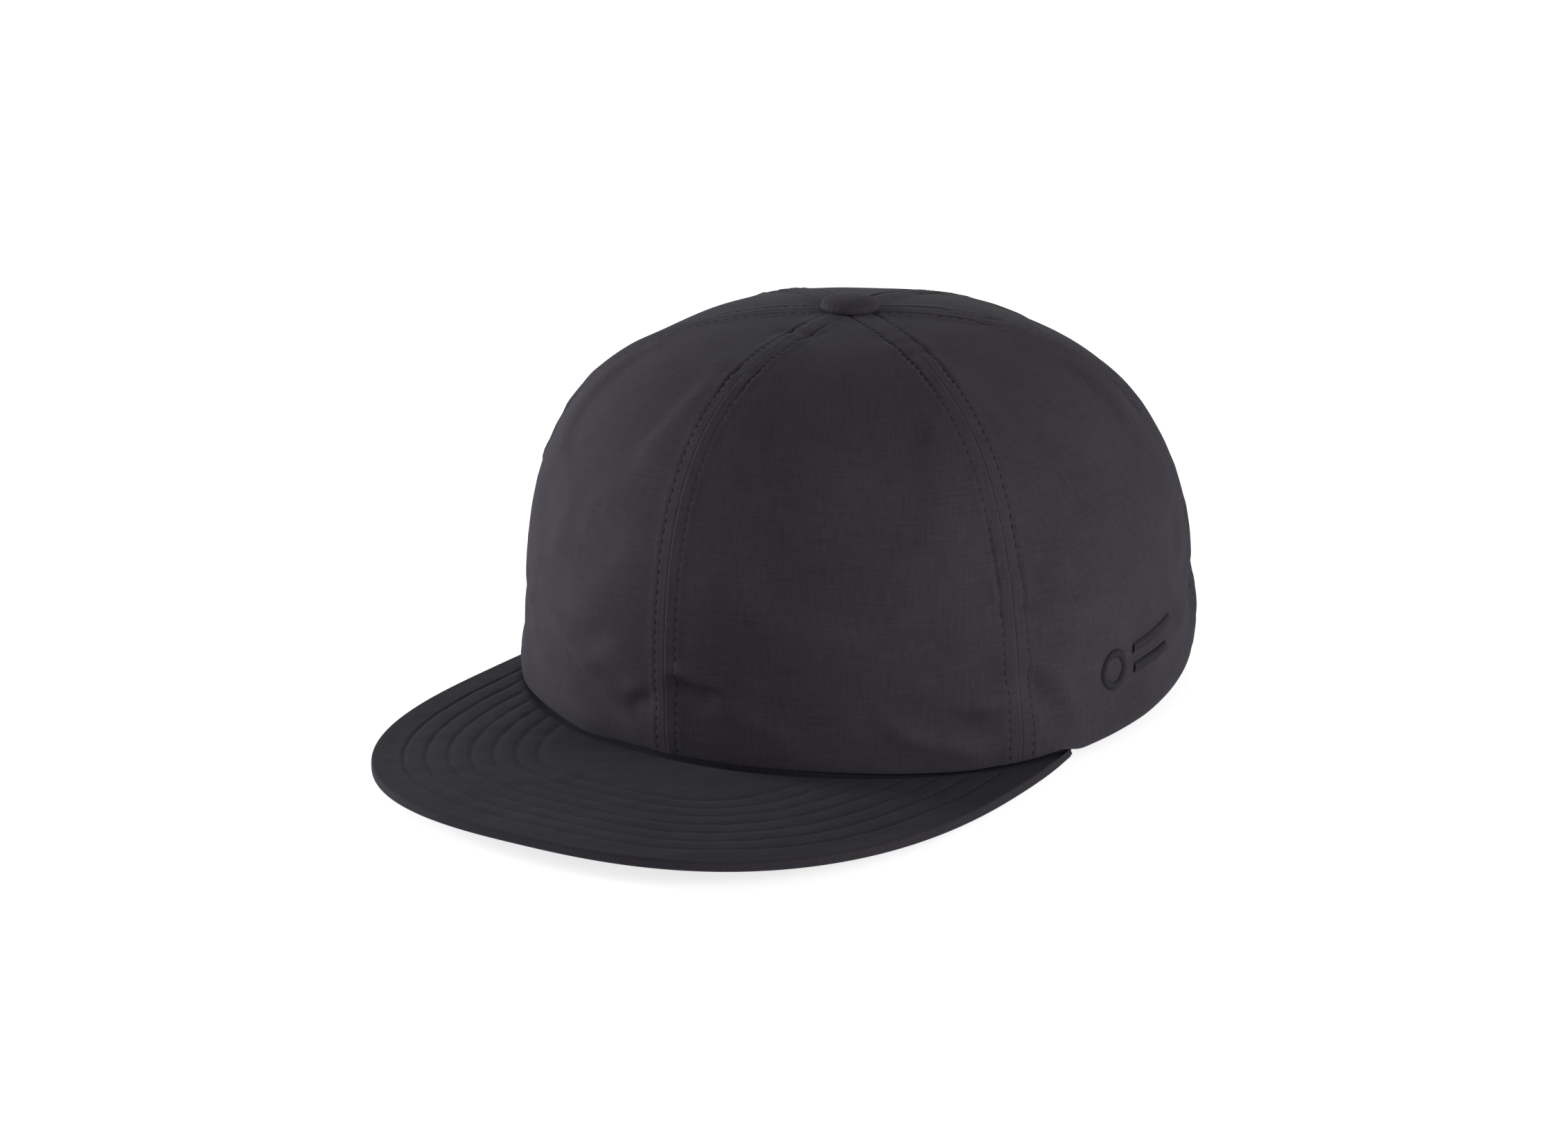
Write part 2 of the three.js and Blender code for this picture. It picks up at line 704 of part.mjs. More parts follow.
function addAdjuster() {
  addMesh("adjuster_strap", longStrap(), COLOUR.cloth);
  addMesh("anchor_strap", anchorStrap(), COLOUR.cloth);
  const centred = (geometry) => geometry.translate(0, 0, -BUCKLE_HEIGHT / 2);
  placeOnArc(addMesh("buckle_frame", centred(buckleFrame()), COLOUR.metal, 0.35, 0.9));
  placeOnArc(addMesh("buckle_lever", centred(buckleLever()), COLOUR.metal, 0.35, 0.9));
  const pin = cylinder(PIN_RADIUS, BUCKLE_HEIGHT + 0.4, 16).translate(HINGE_ALONG, HINGE_OUT, 0);
  placeOnArc(addMesh("buckle_pin", pin, COLOUR.metal, 0.35, 0.9));
}
addAdjuster();

// ---------------------------------------------------------------- protective shell

const SHELL_FRONT_EDGE = 32; // height of the shell's rim above the hem at the front and sides
const SHELL_REAR_EDGE = 50;

function shellEdge(theta) {
  const lift = smoothStep(Math.abs(theta) / RAD, 105, 160);
  return mix(SHELL_FRONT_EDGE, SHELL_REAR_EDGE, lift);
}

function shellDome() {
  const around = turnStations(-180, 180).slice(0, -1);
  const foot = (theta) => alphaAtHeight(theta, shellEdge(theta));
  return crownSheet(around, foot, atAngle(90), SHELL, { closed: true });
}

// A vent slot: a stadium-shaped prism that stands square to the shell.
function ventCutter(degrees, alphaDegrees, length, width) {
  const theta = degrees * RAD;
  const alpha = alphaDegrees * RAD;
  const straight = (length - width) / 2;
  const outline = [];
  for (let i = 0; i < 5; i++) {
    const turn = mix(0, 180, i / 4) * RAD;
    outline.push([(width / 2) * Math.cos(turn), straight + (width / 2) * Math.sin(turn)]);
  }
  for (let i = 0; i < 5; i++) {
    const turn = mix(180, 360, i / 4) * RAD;
    outline.push([(width / 2) * Math.cos(turn), -straight + (width / 2) * Math.sin(turn)]);
  }
  const prism = extrudeOutline(outline, 14);
  const middle = crownPoint(theta, alpha, (SHELL.out + SHELL.in) / 2);
  const normal = middle.clone().sub(crownPoint(theta, alpha, SHELL.in + 2)).normalize();
  const up = crownOuter(theta, alpha + 0.02).sub(crownOuter(theta, alpha - 0.02)).normalize();
  const side = up.clone().cross(normal).normalize();
  const place = new THREE.Matrix4().makeBasis(side, normal.clone().cross(side), normal);
  place.setPosition(middle.clone().addScaledVector(normal, -7));
  return prism.applyMatrix4(place);
}

const VENTS = [];
for (const degrees of [15, 60, 75, 90, 105, 120, 165])
  for (const side of [-1, 1]) VENTS.push([side * degrees, 47, 20, 5]);
for (const degrees of [0, 60, 120, 180, 240, 300]) VENTS.push([degrees, 72, 14, 5]);

function addShell() {
  let shell = solidOf(shellDome());
  for (const vent of VENTS) shell = shell.subtract(solidOf(ventCutter(...vent)));
  addMesh("protective_shell", geometryOf(shell), COLOUR.shell, 0.45);
}
addShell();

// ---------------------------------------------------------------- foam pads in the shell

function addPads() {
  const ring = turnStations(-180, 180).slice(0, -1);
  const disc = crownSheet(ring.filter((a, i) => i % 2 === 0), nearApex(34), atAngle(90), PAD, {
    closed: true,
  });
  addMesh("pad_crown", disc, COLOUR.foam);
  const pads = [
    ["pad_front", -37.5, 37.5, 23, 40],
    ["pad_side_left", 60, 112.5, 23, 38],
    ["pad_side_right", -112.5, -60, 23, 38],
    ["pad_rear_left", 135, 172.5, 36, 50],
    ["pad_rear_right", -172.5, -135, 36, 50],
  ];
  for (const [name, from, to, low, high] of pads) {
    const pad = crownSheet(turnStations(from, to), atAngle(low), atAngle(high), PAD);
    addMesh(name, pad, COLOUR.foam);
  }
}
addPads();

// ---------------------------------------------------------------- tabs that hold the shell in

function addTabs() {
  const tabs = [
    ["front_left", 22.5],
    ["front_right", -37.5],
    ["rear_left", 142.5],
    ["rear_right", -157.5],
  ];
  for (const [place, from] of tabs) {
    const across = turnStations(from, from + 15);
    const loop = crownSheet(across, atAngle(33), atAngle(44), LOOP_TAB);
    const hook = crownSheet(across, atAngle(33), atAngle(44), HOOK_TAB);
    addMesh(`loop_tab_${place}`, loop, COLOUR.lining);
    addMesh(`hook_tab_${place}`, hook, COLOUR.lining);
  }
}
addTabs();

const whole = new THREE.Box3().setFromObject(cap, true);
cap.position.set(0, -(whole.min.y + whole.max.y) / 2, -whole.min.z);

export default cap;
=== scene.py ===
"""The looks of the bump cap: stitched cloth, foam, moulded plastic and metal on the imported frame.

Lengths are millimetres from the middle of the head opening, until a mesh is made, which is in
metres in the frame. +Z is up, the brim points along -Y and +X is the wearer's left. theta runs
round the head from the front, alpha up the crown's profile.
"""
import itertools
import math

import bmesh
import bpy
import numpy as np
from mathutils import Matrix, Vector


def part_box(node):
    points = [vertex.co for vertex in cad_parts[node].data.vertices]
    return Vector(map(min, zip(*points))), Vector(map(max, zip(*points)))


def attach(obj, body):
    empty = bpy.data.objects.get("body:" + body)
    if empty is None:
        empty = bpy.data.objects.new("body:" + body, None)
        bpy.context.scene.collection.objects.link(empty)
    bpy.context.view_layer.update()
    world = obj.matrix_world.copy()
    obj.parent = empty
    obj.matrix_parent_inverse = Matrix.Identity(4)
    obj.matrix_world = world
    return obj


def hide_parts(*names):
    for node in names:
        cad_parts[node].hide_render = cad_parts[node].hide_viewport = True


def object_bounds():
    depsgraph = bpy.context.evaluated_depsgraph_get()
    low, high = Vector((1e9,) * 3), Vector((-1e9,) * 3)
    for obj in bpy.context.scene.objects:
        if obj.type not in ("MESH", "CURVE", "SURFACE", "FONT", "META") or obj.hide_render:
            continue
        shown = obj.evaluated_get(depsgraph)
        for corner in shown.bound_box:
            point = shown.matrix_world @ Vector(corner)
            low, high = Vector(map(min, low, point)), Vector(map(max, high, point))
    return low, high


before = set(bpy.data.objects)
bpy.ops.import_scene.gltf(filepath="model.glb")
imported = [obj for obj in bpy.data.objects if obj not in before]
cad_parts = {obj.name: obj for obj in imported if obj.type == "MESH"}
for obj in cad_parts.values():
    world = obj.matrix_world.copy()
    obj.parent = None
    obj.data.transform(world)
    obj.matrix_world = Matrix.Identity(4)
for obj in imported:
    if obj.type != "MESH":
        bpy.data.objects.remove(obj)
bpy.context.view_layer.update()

MM = 0.001
RAD = math.pi / 180

# ------------------------------------------------------------------ the CAD model's dimensions

HALF_WIDTH, FRONT_LENGTH, BACK_LENGTH = 90.1, 103.9, 109.0
CROWN_HEIGHT, APEX_SHIFT = 104.5, -9.6
FRONT_PROFILE, BACK_PROFILE = (3.1, 3.1), (2.1, 3.4)
HEM_RAISE, HEM_FLARE, FLARE_HEIGHT = 12.0, 1.6, 14.0
HEM_RADIUS = 95.0  # arc length of a radian near the hem
BRIM_HALF_WIDTH, BRIM_MIDDLE_Y, BRIM_REACH = 86.2, -65.7, 111.6
BRIM_ROUNDNESS, BRIM_ARCH, BRIM_LIFT, BRIM_CORNER = 2.5, 0.00026, 0.77, 71.0
BRIM_TILT, TILT_START, TILT_EASE = 0.031, 60.0, 20.0
BRIM_TOP, BRIM_THICKNESS = -0.3, 2.8
ARCH_HALF_WIDTH, ARCH_HEIGHT = 38.0, 42.0
STRAP_RADIUS, STRAP_CENTRE_Y, STRAP_LEAN = 73.8, 31.0, 9.0
STRAP_THICKNESS, STRAP_WIDTH, STRAP_BOTTOM = 1.3, 19.0, 15.5
STRAP_START, STRAP_END = -46.0, 35.0
SHELL_DEPTHS, PAD_DEPTHS, TAPE_DEPTHS = (5.0, 7.2), (7.6, 12.6), (2.0, 2.5)
BAND_DEPTHS, BAND_HEIGHT, BAND_REAR_DEPTH = (2.8, 4.3), 28.0, 3.7
LOOP_DEPTHS, HOOK_DEPTHS = (1.8, 2.8), (3.2, 4.6)
BUTTON_RISE, BUTTON_RADIUS = 4.4, 8.2
CLOTH = 1.1

# The middle of the head opening in the frame, worked out from the button.
_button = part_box("crown_button")
ORIGIN = np.array([
    (_button[0][0] + _button[1][0]) / 2 / MM,
    (_button[0][1] + _button[1][1]) / 2 / MM - APEX_SHIFT,
    _button[1][2] / MM - CROWN_HEIGHT - BUTTON_RISE,
])

# ------------------------------------------------------------------ small helpers


def mix(a, b, share):
    return a + (b - a) * share


def ramp(value, low, high):
    t = np.clip((value - low) / (high - low), 0, 1)
    return t * t * (3 - 2 * t)


def bell(value, width):
    return np.exp(-((value / width) ** 2))


def unit(vectors):
    return vectors / np.maximum(np.linalg.norm(vectors, axis=-1, keepdims=True), 1e-9)


def full_turn(count, start=0.0):
    """Even directions once round."""
    return np.arange(count) / count * 2 * math.pi + start


def distance_along(path):
    """How far along a path each of its points is."""
    steps = np.linalg.norm(np.diff(path, axis=0), axis=-1)
    return np.concatenate([[0], np.cumsum(steps)])


def at_distance(spots, along, values):
    return np.stack([np.interp(spots, along, values[:, k]) for k in range(3)], -1)


NOISE = np.random.default_rng(11).uniform(-1, 1, (32, 32, 32))


def noise(points, size, shift=0.0):
    """Smooth noise from -1 to 1 with bumps about `size` mm across."""
    place = points / size + shift
    cell = np.floor(place).astype(int)
    part = place - cell
    part = part * part * (3 - 2 * part)
    total = 0.0
    for corner in itertools.product((0, 1), repeat=3):
        weight = np.prod(np.where(corner, part, 1 - part), axis=-1)
        x, y, z = np.moveaxis((cell + np.array(corner)) % 32, -1, 0)
        total = total + weight * NOISE[x, y, z]
    return total


# ------------------------------------------------------------------ the crown's surface


def hem_plan(theta):
    length = np.where(np.cos(theta) > 0, FRONT_LENGTH, BACK_LENGTH)
    return HALF_WIDTH * np.sin(theta), -length * np.cos(theta)


def brim_height(x, y):
    ahead = -y - TILT_START
    return BRIM_LIFT - BRIM_ARCH * x * x + BRIM_TILT * (np.hypot(ahead, TILT_EASE) + ahead) / 2


def exponents(theta):
    front = (1 + np.cos(theta)) / 2
    return [mix(back, ahead, front) for back, ahead in zip(BACK_PROFILE, FRONT_PROFILE)]


def crown_outer(theta, alpha):
    """The crown's outer surface, how high up it is above the hem, and its reach from the axis."""
    theta, alpha = np.broadcast_arrays(theta, alpha)
    radial, vertical = exponents(theta)
    across, upward = np.maximum(np.cos(alpha), 0), np.sin(alpha)
    low, high = np.full(theta.shape, 0.9), np.full(theta.shape, 1.5)
    for _ in range(32):
        middle = (low + high) / 2
        outside = (middle * across) ** radial + (middle * upward) ** vertical > 1
        high, low = np.where(outside, middle, high), np.where(outside, low, middle)
    share, rise = low * across, low * upward
    x, y = hem_plan(theta)
    height = rise * CROWN_HEIGHT
    spread = share * (1 + HEM_FLARE / HEM_RADIUS * np.exp(-height / FLARE_HEIGHT))
    hem = brim_height(x, y) + HEM_RAISE * ((1 - np.cos(theta)) / 2) ** 2
    point = np.stack([x * spread, y * spread + APEX_SHIFT * rise, mix(hem, 0, rise) + height], -1)
    return point, height, np.hypot(x, y) * spread


def crown(theta, alpha):
    """Point, outward normal, height above the hem and reach from the axis."""
    point, height, reach = crown_outer(theta, alpha)
    step, a = 0.01, np.minimum(alpha, 88 * RAD)
    around = crown_outer(theta + step, a)[0] - crown_outer(theta - step, a)[0]
    up = crown_outer(theta, a + step)[0] - crown_outer(theta, np.maximum(a - step, 0))[0]
    normal = unit(np.cross(around, up))
    upright = ramp(alpha, 84 * RAD, 90 * RAD)[..., None]
    return point, unit(mix(normal, [0, 0, 1], upright)), height, reach


def alpha_at_height(theta, height):
    radial, vertical = exponents(theta)
    rise = np.minimum(0.999, height / CROWN_HEIGHT)
    return np.arctan2(rise, (1 - rise**vertical) ** (1 / radial))


def alpha_near_apex(theta, reach):
    x, y = hem_plan(theta)
    share = reach / np.hypot(x, y)
    radial, vertical = exponents(theta)
    return np.arctan2((1 - share**radial) ** (1 / vertical), share)


def below_crown(theta, alpha, depth):
    """Points at a depth below the smooth crown."""
    point, normal, _, _ = crown(theta, alpha)
    return point - normal * np.asarray(depth)[..., None]


# Length along the profile from the hem, tabled by direction and alpha.
THETA_STEP, ALPHA_STEP = 7.5, 0.5
TABLE_THETA = np.arange(-180, 181, THETA_STEP) * RAD
TABLE_ALPHA = np.linspace(0, 90, 181) * RAD
_points = crown_outer(TABLE_THETA[:, None], TABLE_ALPHA[None])[0]
_steps = np.linalg.norm(np.diff(_points, axis=1), axis=-1)
TABLE_LENGTH = np.pad(np.cumsum(_steps, axis=1), ((0, 0), (1, 0)))


def table_row(theta):
    place = np.clip((theta - TABLE_THETA[0]) / (THETA_STEP * RAD), 0, len(TABLE_THETA) - 1.001)
    row = np.floor(place).astype(int)
    return row, place - row


def length_up(theta, alpha):
    theta, alpha = np.broadcast_arrays(theta, alpha)
    row, part = table_row(theta)
    place = np.clip(alpha / (ALPHA_STEP * RAD), 0, 179.999)
    column = np.floor(place).astype(int)
    rest = place - column
    here, there = (mix(TABLE_LENGTH[r, column], TABLE_LENGTH[r, column + 1], rest) for r in (row, row + 1))
    return mix(here, there, part)


def even_alphas(theta, foot, top, count):
    """Alphas evenly spaced by length between foot and top, one row per direction in theta."""
    rows = []
    for t, a, b in np.broadcast(theta, foot, top):
        row, part = table_row(t)
        lengths = mix(TABLE_LENGTH[row], TABLE_LENGTH[row + 1], part)
        ends = np.interp([a, b], TABLE_ALPHA, lengths)
        rows.append(np.interp(np.linspace(*ends, count), lengths, TABLE_ALPHA))
    return np.array(rows)


def sheet_between(angles, foot, top, rows):
    """Directions and alphas of a grid of (around, up) between two edges."""
    alpha = even_alphas(angles, foot, top, rows)
    return np.repeat(angles[:, None], rows, 1), alpha


def sheet_uv(across, along):
    return np.stack(np.broadcast_arrays(across, along), -1)


# ------------------------------------------------------------------ how the cloth lies

SEAM_TURN = 60 * RAD
ROW = 3.6  # distance of a topstitch row from its seam
STITCH = 2.7  # length of one stitch with its gap

# Folds above the brim and at the sides, each from one place to another (direction in degrees,
# length up from the hem), with its width, how deep it creases and how much one side rolls out.
FOLDS = [
    (-33, 24.5, -9, 10.5, 2.7, 0.2, 2.4),
    (-40, 14, -13, 3, 5.5, -2.1, 0.0),
    (-104, 2, -46, 2, 7.5, -2.2, 0.0),
    (1.5, 24, 9.5, 20.5, 2.1, 0.8, 2.0),
    (9, 21, 24, 13, 4.0, 0.2, -1.2),
    (-8, 14.5, -2.5, 17.5, 2.0, 0.45, 0.8),
    (38, 17, 54, 8.5, 3.2, 0.6, -2.8),
    (46, 19, 58.5, 24, 4.0, 0.5, -2.0),
    (62, 27, 70, 10, 3.0, 0.6, 1.9),
    (65, 37, 83, 33, 4.5, 0.2, 1.2),
    (98.5, 32, 105.5, 16, 2.4, 0.8, 1.8),
    (90, 12, 112, 15, 5.0, -1.4, 0.0),
    (112, 10, 128, 22, 4.0, 0.3, -1.1),
    (134, 26, 126, 8, 3.2, 0.3, 1.0),
    (-64, 28, -78, 12, 3.6, 0.3, 1.2),
    (-96, 22, -112, 10, 4.0, 0.3, -1.0),
    (-126, 24, -133, 9, 3.0, 0.3, 1.0),
    (-70, 96, -96, 90, 7.0, 0.2, 0.6),
    (78, 100, 104, 92, 7.0, 0.2, 0.6),
    (22, 118, 40, 104, 6.0, 0.2, 0.5),
]


def fold_relief(theta, length):
    x, y = theta * HEM_RADIUS, length
    total = np.zeros(np.shape(x))
    for from_t, from_y, to_t, to_y, width, crease, roll in FOLDS:
        ax, bx = from_t * RAD * HEM_RADIUS, to_t * RAD * HEM_RADIUS
        span = math.hypot(bx - ax, to_y - from_y)
        ex, ey = (bx - ax) / span, (to_y - from_y) / span
        along = ((x - ax) * ex + (y - from_y) * ey) / span
        off = (ex * (y - from_y) - ey * (x - ax)) / width
        fade = ramp(along, -0.2, 0.25) * (1 - ramp(along, 0.7, 1.2))
        total += fade * (-crease * np.exp(-(off**2)) + roll * off * np.exp(-(off**2) / 2.2))
    return total


SETTLE_COLUMNS, SETTLE_ROWS, SETTLE_LIMIT = 144, 44, 1.1
CLOTH_TOP = 9.0  # the cloth is held at this reach, under the button


def add_object(name, data):
    made = bpy.data.objects.new(name, data)
    bpy.context.scene.collection.objects.link(made)
    return made


def hang_cloth(points):
    """A cloth object through a grid of points in metres, held at hem, button and seams."""
    faces = []
    for i in range(SETTLE_COLUMNS):
        for j in range(SETTLE_ROWS - 1):
            a, b = i * SETTLE_ROWS + j, (i + 1) % SETTLE_COLUMNS * SETTLE_ROWS + j
            faces.append((a, b, b + 1, a + 1))
    mesh = bpy.data.meshes.new("settling")
    mesh.from_pydata(points.tolist(), [], faces)
    cloth = add_object("settling", mesh)
    pins = cloth.vertex_groups.new(name="pins")
    for i in range(SETTLE_COLUMNS):
        on_seam = i % (SETTLE_COLUMNS // 6) == 0
        for j in range(SETTLE_ROWS):
            held = j in (0, 1, SETTLE_ROWS - 1)
            pins.add([i * SETTLE_ROWS + j], 1.0 if held else 0.35 if on_seam else 0.02, "REPLACE")
    return cloth


def simulate(cloth):
    """Lets the cloth settle and returns its points in metres."""
    settings = cloth.modifiers.new("cloth", "CLOTH").settings
    settings.quality = 6
    settings.mass = 0.2
    settings.tension_stiffness = settings.compression_stiffness = 18
    settings.shear_stiffness = 6
    settings.bending_stiffness = 0.6
    settings.vertex_group_mass = "pins"
    settings.shrink_min = -0.012  # cut 1.2 % too large
    for step in range(1, 23):
        bpy.context.scene.frame_set(step)
    settled = cloth.evaluated_get(bpy.context.evaluated_depsgraph_get())
    moved = np.empty(len(settled.data.vertices) * 3)
    settled.data.vertices.foreach_get("co", moved)
    bpy.context.scene.frame_set(1)
    bpy.data.objects.remove(cloth)
    return moved


def settle_cloth():
    """Cloth cut a little large hangs from the hem, the button and the seams. Returns how far it
    moved outwards, in mm, on a regular grid of direction and length."""
    theta = full_turn(SETTLE_COLUMNS, -math.pi)
    alpha = even_alphas(theta, 0.0, alpha_near_apex(theta, CLOTH_TOP), SETTLE_ROWS)
    point, normal, _, reach = crown(theta[:, None], alpha)
    start = (point + normal * 0.2 * noise(point, 22.0)[..., None]).reshape(-1, 3) * MM
    moved = simulate(hang_cloth(start)).reshape(point.shape)
    out = np.nan_to_num(((moved / MM - point) * normal).sum(-1))
    out = SETTLE_LIMIT * np.tanh((out - out.mean(0)) * 0.5 / SETTLE_LIMIT)
    return out * ramp(reach, 35, 75)


SETTLED = settle_cloth()


def cubic_weights(part):
    """Weights of four neighbours for a smooth (B-spline) reading between them."""
    return np.stack([
        (1 - part) ** 3 / 6,
        (3 * part**3 - 6 * part**2 + 4) / 6,
        (-3 * part**3 + 3 * part**2 + 3 * part + 1) / 6,
        part**3 / 6,
    ])


def settled_relief(theta, length, whole):
    turn = (theta + math.pi) / (2 * math.pi) * SETTLE_COLUMNS
    rise = np.clip(length / whole, 0, 0.999) * (SETTLE_ROWS - 1)
    column, row = np.floor(turn).astype(int), np.floor(rise).astype(int)
    across, up = cubic_weights(turn - column), cubic_weights(rise - row)
    total = 0.0
    for i, j in itertools.product(range(4), repeat=2):
        near = SETTLED[(column + i - 1) % SETTLE_COLUMNS, np.clip(row + j - 1, 0, SETTLE_ROWS - 1)]
        total = total + across[i] * up[j] * near
    return total


DEEPEST = 0.8  # the tapes and the sweatband lie just inside the cloth


def cloth_relief(theta, alpha, point, height, reach):
    """How far the finished cloth stands proud of the crown's smooth surface."""
    length = length_up(theta, alpha)
    whole = length_up(theta, alpha_near_apex(theta, CLOTH_TOP))
    nearest = np.round(theta / SEAM_TURN)
    aside = np.abs(theta - nearest * SEAM_TURN) * reach
    beat = np.cos(2 * math.pi * length / STITCH)
    # the seam allowances make a band, with a fine line where the panels meet
    lift = 0.22 * (1 - ramp(aside, ROW + 0.6, ROW + 3.0))
    lift = lift - 0.10 * bell(aside, 0.3) + 0.14 * bell(aside, 1.4)
    # the thread draws the cloth in, more in some places than in others
    seam = nearest * 7 + 0 * length
    pucker = noise(np.stack([length / 3.6, seam, aside / 7], -1), 1.0)
    uneven = noise(np.stack([length / 16, seam, 0 * seam], -1), 1.0, 3.0)
    gathered = 0.35 + 1.05 * ramp(uneven, -0.1, 0.5)
    lift = lift - (0.34 + 0.16 * beat) * gathered * bell(aside - ROW, 0.55)
    lift = lift + 0.40 * pucker * gathered * bell(aside - ROW, 3.2) * ramp(reach, 12, 30)
    # loose cloth, the turned hem, and a profile drawn in at the middle and full at the top
    lift = lift + 0.42 * noise(point, 34.0) + 0.14 * noise(point, 13.0, 5.0)
    lift = lift + 0.45 * bell(height - 6, 5) - 0.5 * bell(height, 1.3)
    lift = lift - 0.7 * bell(height - 65, 28) + 1.1 * ramp(height, 92, 105)
    lift = lift + fold_relief(theta, length) + settled_relief(theta, length, whole)
    return np.where(lift < 0, DEEPEST * np.tanh(lift / DEEPEST), lift)


SIDE_DROP, BRIM_END_DROP, DROP_HEIGHT = 1.2, 1.8, 14


def hem_drop(theta, height):
    """The hem hangs lower towards the sides, and behind the brim's ends as low as its underside."""
    away = np.abs(theta) / RAD
    drop = SIDE_DROP * ramp(away, 20, 60) + BRIM_END_DROP * ramp(away, 68, 73)
    drop = drop * (1 - 0.7 * ramp(away, 120, 150)) * (1 - ramp(height, 0, DROP_HEIGHT))
    return np.stack([0 * drop, 0 * drop, -drop], -1)


def cloth_frame(theta, alpha):
    """Point on the finished cloth, and its normal before relief."""
    theta = np.where(theta > math.pi, theta - 2 * math.pi, theta)
    point, normal, height, reach = crown(theta, alpha)
    lift = cloth_relief(theta, alpha, point, height, reach)
    return point + normal * lift[..., None] + hem_drop(theta, height), normal


# ------------------------------------------------------------------ making meshes


def new_mesh(name, vertices, faces):
    """A mesh in metres from points in millimetres."""
    mesh = bpy.data.meshes.new(name)
    mesh.from_pydata(((vertices + ORIGIN) * MM).tolist(), [], faces)
    return mesh


def turn_faces_out(mesh):
    form = bmesh.new()
    form.from_mesh(mesh)
    bmesh.ops.recalc_face_normals(form, faces=form.faces)
    form.to_mesh(mesh)
    form.free()


def new_piece(name, form, material, body="cap", replaces=True):
    """A visible piece from (vertices, faces, uvs), which takes the place of its CAD namesake."""
    vertices, faces, uvs = form
    mesh = new_mesh(name, vertices, faces)
    layer = mesh.uv_layers.new(name="weave")
    index = np.empty(len(mesh.loops), np.int32)
    mesh.loops.foreach_get("vertex_index", index)
    layer.data.foreach_set("uv", uvs[index].astype(np.float32).ravel())
    turn_faces_out(mesh)
    mesh.shade_smooth()
    mesh.materials.append(material)
    piece = add_object(name, mesh)
    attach(piece, body)
    if replaces:
        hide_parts(name)
    return piece


ROLL_STEPS = 4


def rolled_edge(edge, beyond, other, steps):
    """Lines of a half round from one face's edge to the other's, bulging away from `beyond`."""
    middle, half = (edge + other) / 2, (edge - other) / 2
    out = unit(edge - beyond) * np.linalg.norm(half, axis=-1, keepdims=True)
    turns = np.arange(1, steps) / steps * math.pi
    return [middle + half * math.cos(a) + out * math.sin(a) for a in turns]


def tube_faces(rings, around):
    faces = []
    for i in range(rings - 1):
        for j in range(around):
            k = (j + 1) % around
            here, there = i * around, (i + 1) * around
            faces.append((here + j, here + k, there + k, there + j))
    return faces


def slab(outer, inner, uv):
    """A sheet with thickness from its two faces, grids of (along, across). The first and last
    rows across are joined by rounded edges."""
    columns, rows = outer.shape[:2]
    top = rolled_edge(outer[:, -1], outer[:, -2], inner[:, -1], ROLL_STEPS)
    foot = rolled_edge(inner[:, 0], inner[:, 1], outer[:, 0], ROLL_STEPS)
    ring = [*np.moveaxis(outer, 1, 0), *top, *np.moveaxis(inner[:, ::-1], 1, 0), *foot]
    steps = [[0, 0.3 * k] for k in range(1, ROLL_STEPS)]
    flat = [*np.moveaxis(uv, 1, 0), *(uv[:, -1] + step for step in steps)]
    flat += [*np.moveaxis(uv[:, ::-1], 1, 0), *(uv[:, 0] - step for step in steps)]
    count, back = len(ring), rows + ROLL_STEPS - 1
    vertices, uvs = np.stack(ring, 1).reshape(-1, 3), np.stack(flat, 1).reshape(-1, 2)
    faces = [(a, d, c, b) for a, b, c, d in tube_faces(columns, count)]
    for base, turn in ((0, 1), ((columns - 1) * count, -1)):
        for j in range(rows - 1):
            far = base + back + rows - 1 - j
            faces.append((base + j, base + j + 1, far - 1, far)[::turn])
        faces.append(tuple(base + j for j in range(rows - 1, back + 1))[::turn])
        faces.append(tuple(base + j % count for j in range(back + rows - 1, count + 1))[::turn])
    return vertices, faces, uvs


def loft(rings, uv):
    """A closed form from rings of points (ring, around): both ends close on their middles."""
    count, around = rings.shape[:2]
    vertices, uvs = (
        np.concatenate([grid.reshape(-1, grid.shape[-1]), grid[0].mean(0)[None], grid[-1].mean(0)[None]])
        for grid in (rings, uv)
    )
    faces = tube_faces(count, around)
    first, last = count * around, count * around + 1
    for j in range(around):
        k = (j + 1) % around
        faces.append((first, k, j))
        faces.append((last, (count - 1) * around + j, (count - 1) * around + k))
    return vertices, faces, uvs


def join_parts(parts):
    """Joins (vertices, faces, uvs) lists into one."""
    vertices, faces, uvs, start = [], [], [], 0
    for part_vertices, part_faces, part_uvs in parts:
        vertices.append(part_vertices)
        uvs.append(part_uvs)
        faces += [tuple(start + v for v in face) for face in part_faces]
        start += len(part_vertices)
    return np.concatenate(vertices), faces, np.concatenate(uvs)


THREAD, THREAD_SIDES = 0.21, 6
COVER = 0.78  # share of a stitch that lies on the face of the cloth


